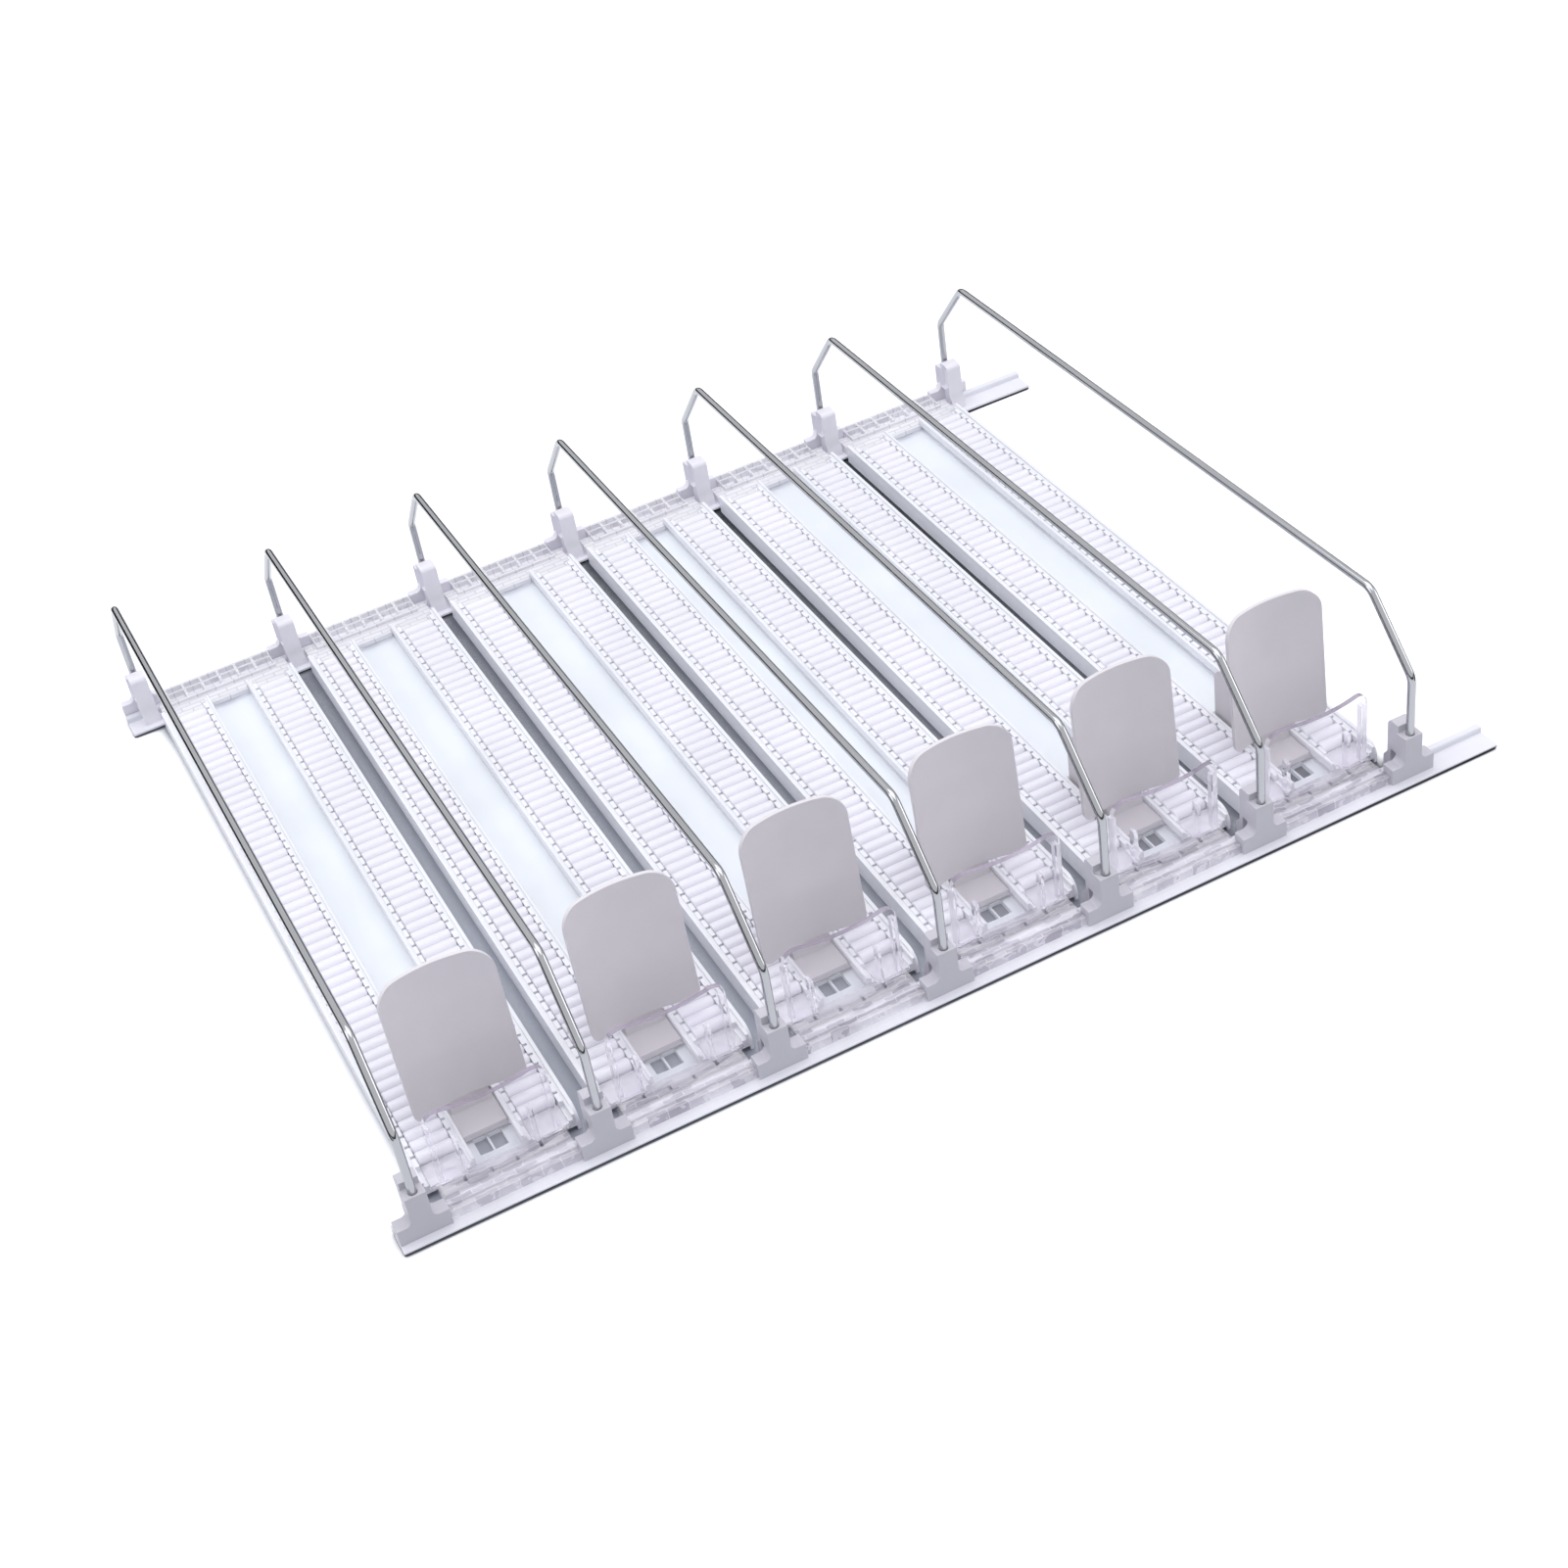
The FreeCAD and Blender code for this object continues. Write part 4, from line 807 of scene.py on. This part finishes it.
def bed_section():
    """The outline in (x, z) of the bed, combs and lip on the right of the channel."""
    lip_in = CHANNEL_HALF + LIP
    groove = CHANNEL_HALF + GROOVE_DEPTH
    ledge_in = BED_IN - TEETH_IN
    ledge_out = BED_OUT + TEETH_OUT
    corners = [(CHANNEL_HALF, 0), (BED_IN, 0), (BED_IN, BED_UNDER), (COMB_OUT, BED_UNDER),
               (COMB_OUT, LEDGE_TOP), (ledge_out, LEDGE_TOP), (ledge_out, COMB_BASE),
               (BED_OUT, COMB_BASE), (BED_OUT, BED_FLOOR), (BED_IN, BED_FLOOR),
               (BED_IN, COMB_BASE), (ledge_in, COMB_BASE), (ledge_in, LEDGE_TOP),
               (lip_in, LEDGE_TOP), (lip_in, LIP_TOP - EDGE), (lip_in - EDGE, LIP_TOP),
               (CHANNEL_HALF + EDGE, LIP_TOP), (CHANNEL_HALF, LIP_TOP - EDGE),
               (CHANNEL_HALF, GROOVE_HIGH), (groove, GROOVE_HIGH), (groove, GROOVE_LOW),
               (CHANNEL_HALF, GROOVE_LOW)]
    return np.array(corners)


def floor_strip(left, right, middle, front, rear):
    """Part of the channel's floor: flat below, and above a parabola over x that dips mid-way."""
    x = np.linspace(left, right, 2 + int(abs(right - left) / FLOOR_STEP))
    top = CHANNEL_FLOOR + CHANNEL_RISE * (x / CHANNEL_HALF) ** 2
    outline = np.concatenate([np.column_stack([x, top]), [(right, 0), (left, 0)]])
    return prism(outline + [middle, 0], 1, front, rear)


def side_wall(length):
    """The outer wall seen from the side, in (y, z), with its upper front corner rounded."""
    turn = np.linspace(np.pi, np.pi / 2, 9)
    arc = np.column_stack([WALL_ROUND + WALL_ROUND * np.cos(turn),
                           LIP_TOP - WALL_ROUND + WALL_ROUND * np.sin(turn)])
    return np.concatenate([[(0, 0)], arc, [(length, LIP_TOP), (length, 0)]])


def track_shells(middle, front, length):
    """The channel's floor with its windows, and the rest: beds, outer walls and combs."""
    window_front = front + WINDOW_START
    window_rear = window_front + WINDOW_LENGTH
    edge = WINDOW_BAR / 2 + WINDOW_WIDTH
    floor = [floor_strip(-CHANNEL_HALF, CHANNEL_HALF, middle, front, window_front),
             floor_strip(-CHANNEL_HALF, CHANNEL_HALF, middle, window_rear, front + length)]
    bars = ((-CHANNEL_HALF, -edge), (-WINDOW_BAR / 2, WINDOW_BAR / 2), (edge, CHANNEL_HALF))
    for left, right in bars:
        floor.append(floor_strip(left, right, middle, window_front, window_rear))
    shells = []
    wall = side_wall(length) + [front, 0]
    for side in (-1, 1):
        shells.append(prism(bed_section() * [side, 1] + [middle, 0], 1, front, front + length))
        faces_at = sorted((middle + side * COMB_OUT, middle + side * (COMB_OUT + SIDE)))
        shells.append(prism(wall, 0, *faces_at))
    count = int((length - FRONT_SEAT - REAR_SEAT) / PITCH + 0.001)
    between = front + FRONT_SEAT + PITCH * np.arange(count + 1)
    heights = np.full(len(between), (COMB_BASE + COMB_TOP) / 2)
    for near_x, width in ((BED_OUT, TEETH_OUT), (BED_IN - TEETH_IN, TEETH_IN)):
        for side in (-1, 1):
            x = middle + side * (near_x + width / 2)
            places = np.column_stack([np.full(len(between), x), between, heights])
            halves = (width / 2, (PITCH - SLOT) / 2, (COMB_TOP - COMB_BASE) / 2)
            shells.append(blocks(places, halves))
    return floor, shells, count


def roller_shells(middle, front, count):
    """All rollers of a track: one turned profile on rings, repeated along both beds.

    The profile's pairs are (distance along the axis, radius): pin, shoulder, rounded edge and
    barrel. The rings stand about the X axis, and every roller is the same rings moved in x, y.
    """
    pin_end = ROLLER_HALF + PIN_OUT
    half = [(ROLLER_HALF - ROLLER_EDGE, ROLLER_RADIUS), (ROLLER_HALF, ROLLER_RADIUS - ROLLER_EDGE),
            (ROLLER_HALF, PIN_RADIUS), (pin_end, PIN_RADIUS)]
    profile = np.array([(-x, r) for x, r in reversed(half)] + half)
    turn = np.linspace(0, 2 * np.pi, ROLLER_SIDES, endpoint=False)
    ring = np.stack([np.cos(turn), np.sin(turn)], axis=1)
    one = np.concatenate([np.column_stack([np.full(ROLLER_SIDES, x), radius * ring])
                          for x, radius in profile])
    faces = band_faces(len(profile), ROLLER_SIDES)
    faces.append(list(range(ROLLER_SIDES)))
    faces.append(list(range(len(one) - ROLLER_SIDES, len(one))))
    along = front + FRONT_SEAT + PITCH * (np.arange(count) + 0.5)
    shells = []
    for side in (-1, 1):
        x = middle + side * (BED_IN + BED / 2)
        for y in along:
            shells.append((one + [x, y, ROLLER_AXIS], faces))
    return shells


for number in range(1, LANES + 1):
    low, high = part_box(f"track_{number}")
    middle = (low.x + high.x) / 2
    channel, shells, count = track_shells(middle, low.y, high.y - low.y)
    make_piece(f"channel_{number}", channel, channel_plastic)
    make_piece(f"track_moulding_{number}", shells, track_plastic,
               stands_for=[f"track_{number}"])
    make_piece(f"rollers_{number}", roller_shells(middle, low.y, count), roller_plastic,
               smooth_angle=ROLLER_SMOOTH)
print("rollers:", 2 * count * LANES)

# %% [markdown]
# ## Springs
# Behind each paddle sits a roll of steel tape. Seen from the side it is a tight spiral, so the
# roll is made as one: the tape's middle line has a radius that grows evenly with the turn.
# From the roll the tape runs forward on the channel's floor to its hook. As a pusher is pushed
# back, more tape is drawn out, so this stretch rides on no body and is left where it lies.

# %% Springs
COIL_HOLE, COIL_TURNS, TURN_STEPS = 4.0 * MM, 10, 32
TAPE_THICK, TAPE_HALF, TAPE_LOW, TAPE_HOOK = 0.3 * MM, 5.0 * MM, 2.5 * MM, 1.2 * MM
FLAT_END, RISE_START, RISE, FLAT_POINTS = 9 * MM, 4 * MM, 0.9 * MM, 24


def ribbon(line, half_width, thickness, middle):
    """A flat strip: a line in (y, z), thickened across its direction and widened along X."""
    line = np.asarray(line, float)
    way = np.gradient(line, axis=0)
    way /= np.linalg.norm(way, axis=1)[:, None]
    across = np.column_stack([-way[:, 1], way[:, 0]]) * thickness / 2
    rim = [(-1, -1), (1, -1), (1, 1), (-1, 1)]
    rows = []
    for side, face in rim:
        edge = line + face * across
        rows.append(np.column_stack([np.full(len(line), middle + side * half_width), edge]))
    points = np.stack(rows, axis=1).reshape(-1, 3)
    faces = band_faces(len(line), 4)
    faces.append([0, 1, 2, 3])
    faces.append(list(range(len(points) - 4, len(points))))
    return points, faces


for number in range(1, LANES + 1):
    low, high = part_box(f"spring_coil_{number}")
    middle = (low.x + high.x) / 2
    centre = np.array([(low.y + high.y) / 2, (low.z + high.z) / 2])
    outer = (high.y - low.y) / 2 - TAPE_THICK
    turn = np.linspace(0, 2 * np.pi * COIL_TURNS, TURN_STEPS * COIL_TURNS + 1)
    radius = COIL_HOLE + TAPE_THICK + (outer - COIL_HOLE - TAPE_THICK) * turn / turn[-1]
    ways = np.column_stack([np.cos(turn - np.pi / 2), np.sin(turn - np.pi / 2)])
    spiral = centre + radius[:, None] * ways
    body = f"pusher_{number}"
    make_piece(f"coil_{number}", [ribbon(spiral, TAPE_HALF, TAPE_THICK, middle)], spring_steel,
               body, stands_for=[f"spring_coil_{number}"])
    low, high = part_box(f"spring_tape_{number}")
    lying = TAPE_LOW + TAPE_THICK / 2
    hook = low.y + TAPE_THICK / 2
    lift = centre + np.array([0, -outer])
    flat_end = lift[0] - FLAT_END
    flat = np.linspace(hook, flat_end, FLAT_POINTS)
    line = [(hook, lying + TAPE_HOOK), (hook, lying + TAPE_HOOK / 2)]
    line += [(y, lying) for y in flat]
    line += [(lift[0] - RISE_START, lying + RISE), (lift[0], lift[1])]
    drawn = make_piece(f"tape_{number}", [ribbon(line, TAPE_HALF, TAPE_THICK, middle)],
                       spring_steel, None, stands_for=[f"spring_tape_{number}"])
    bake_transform(drawn)
print("springs:", LANES)
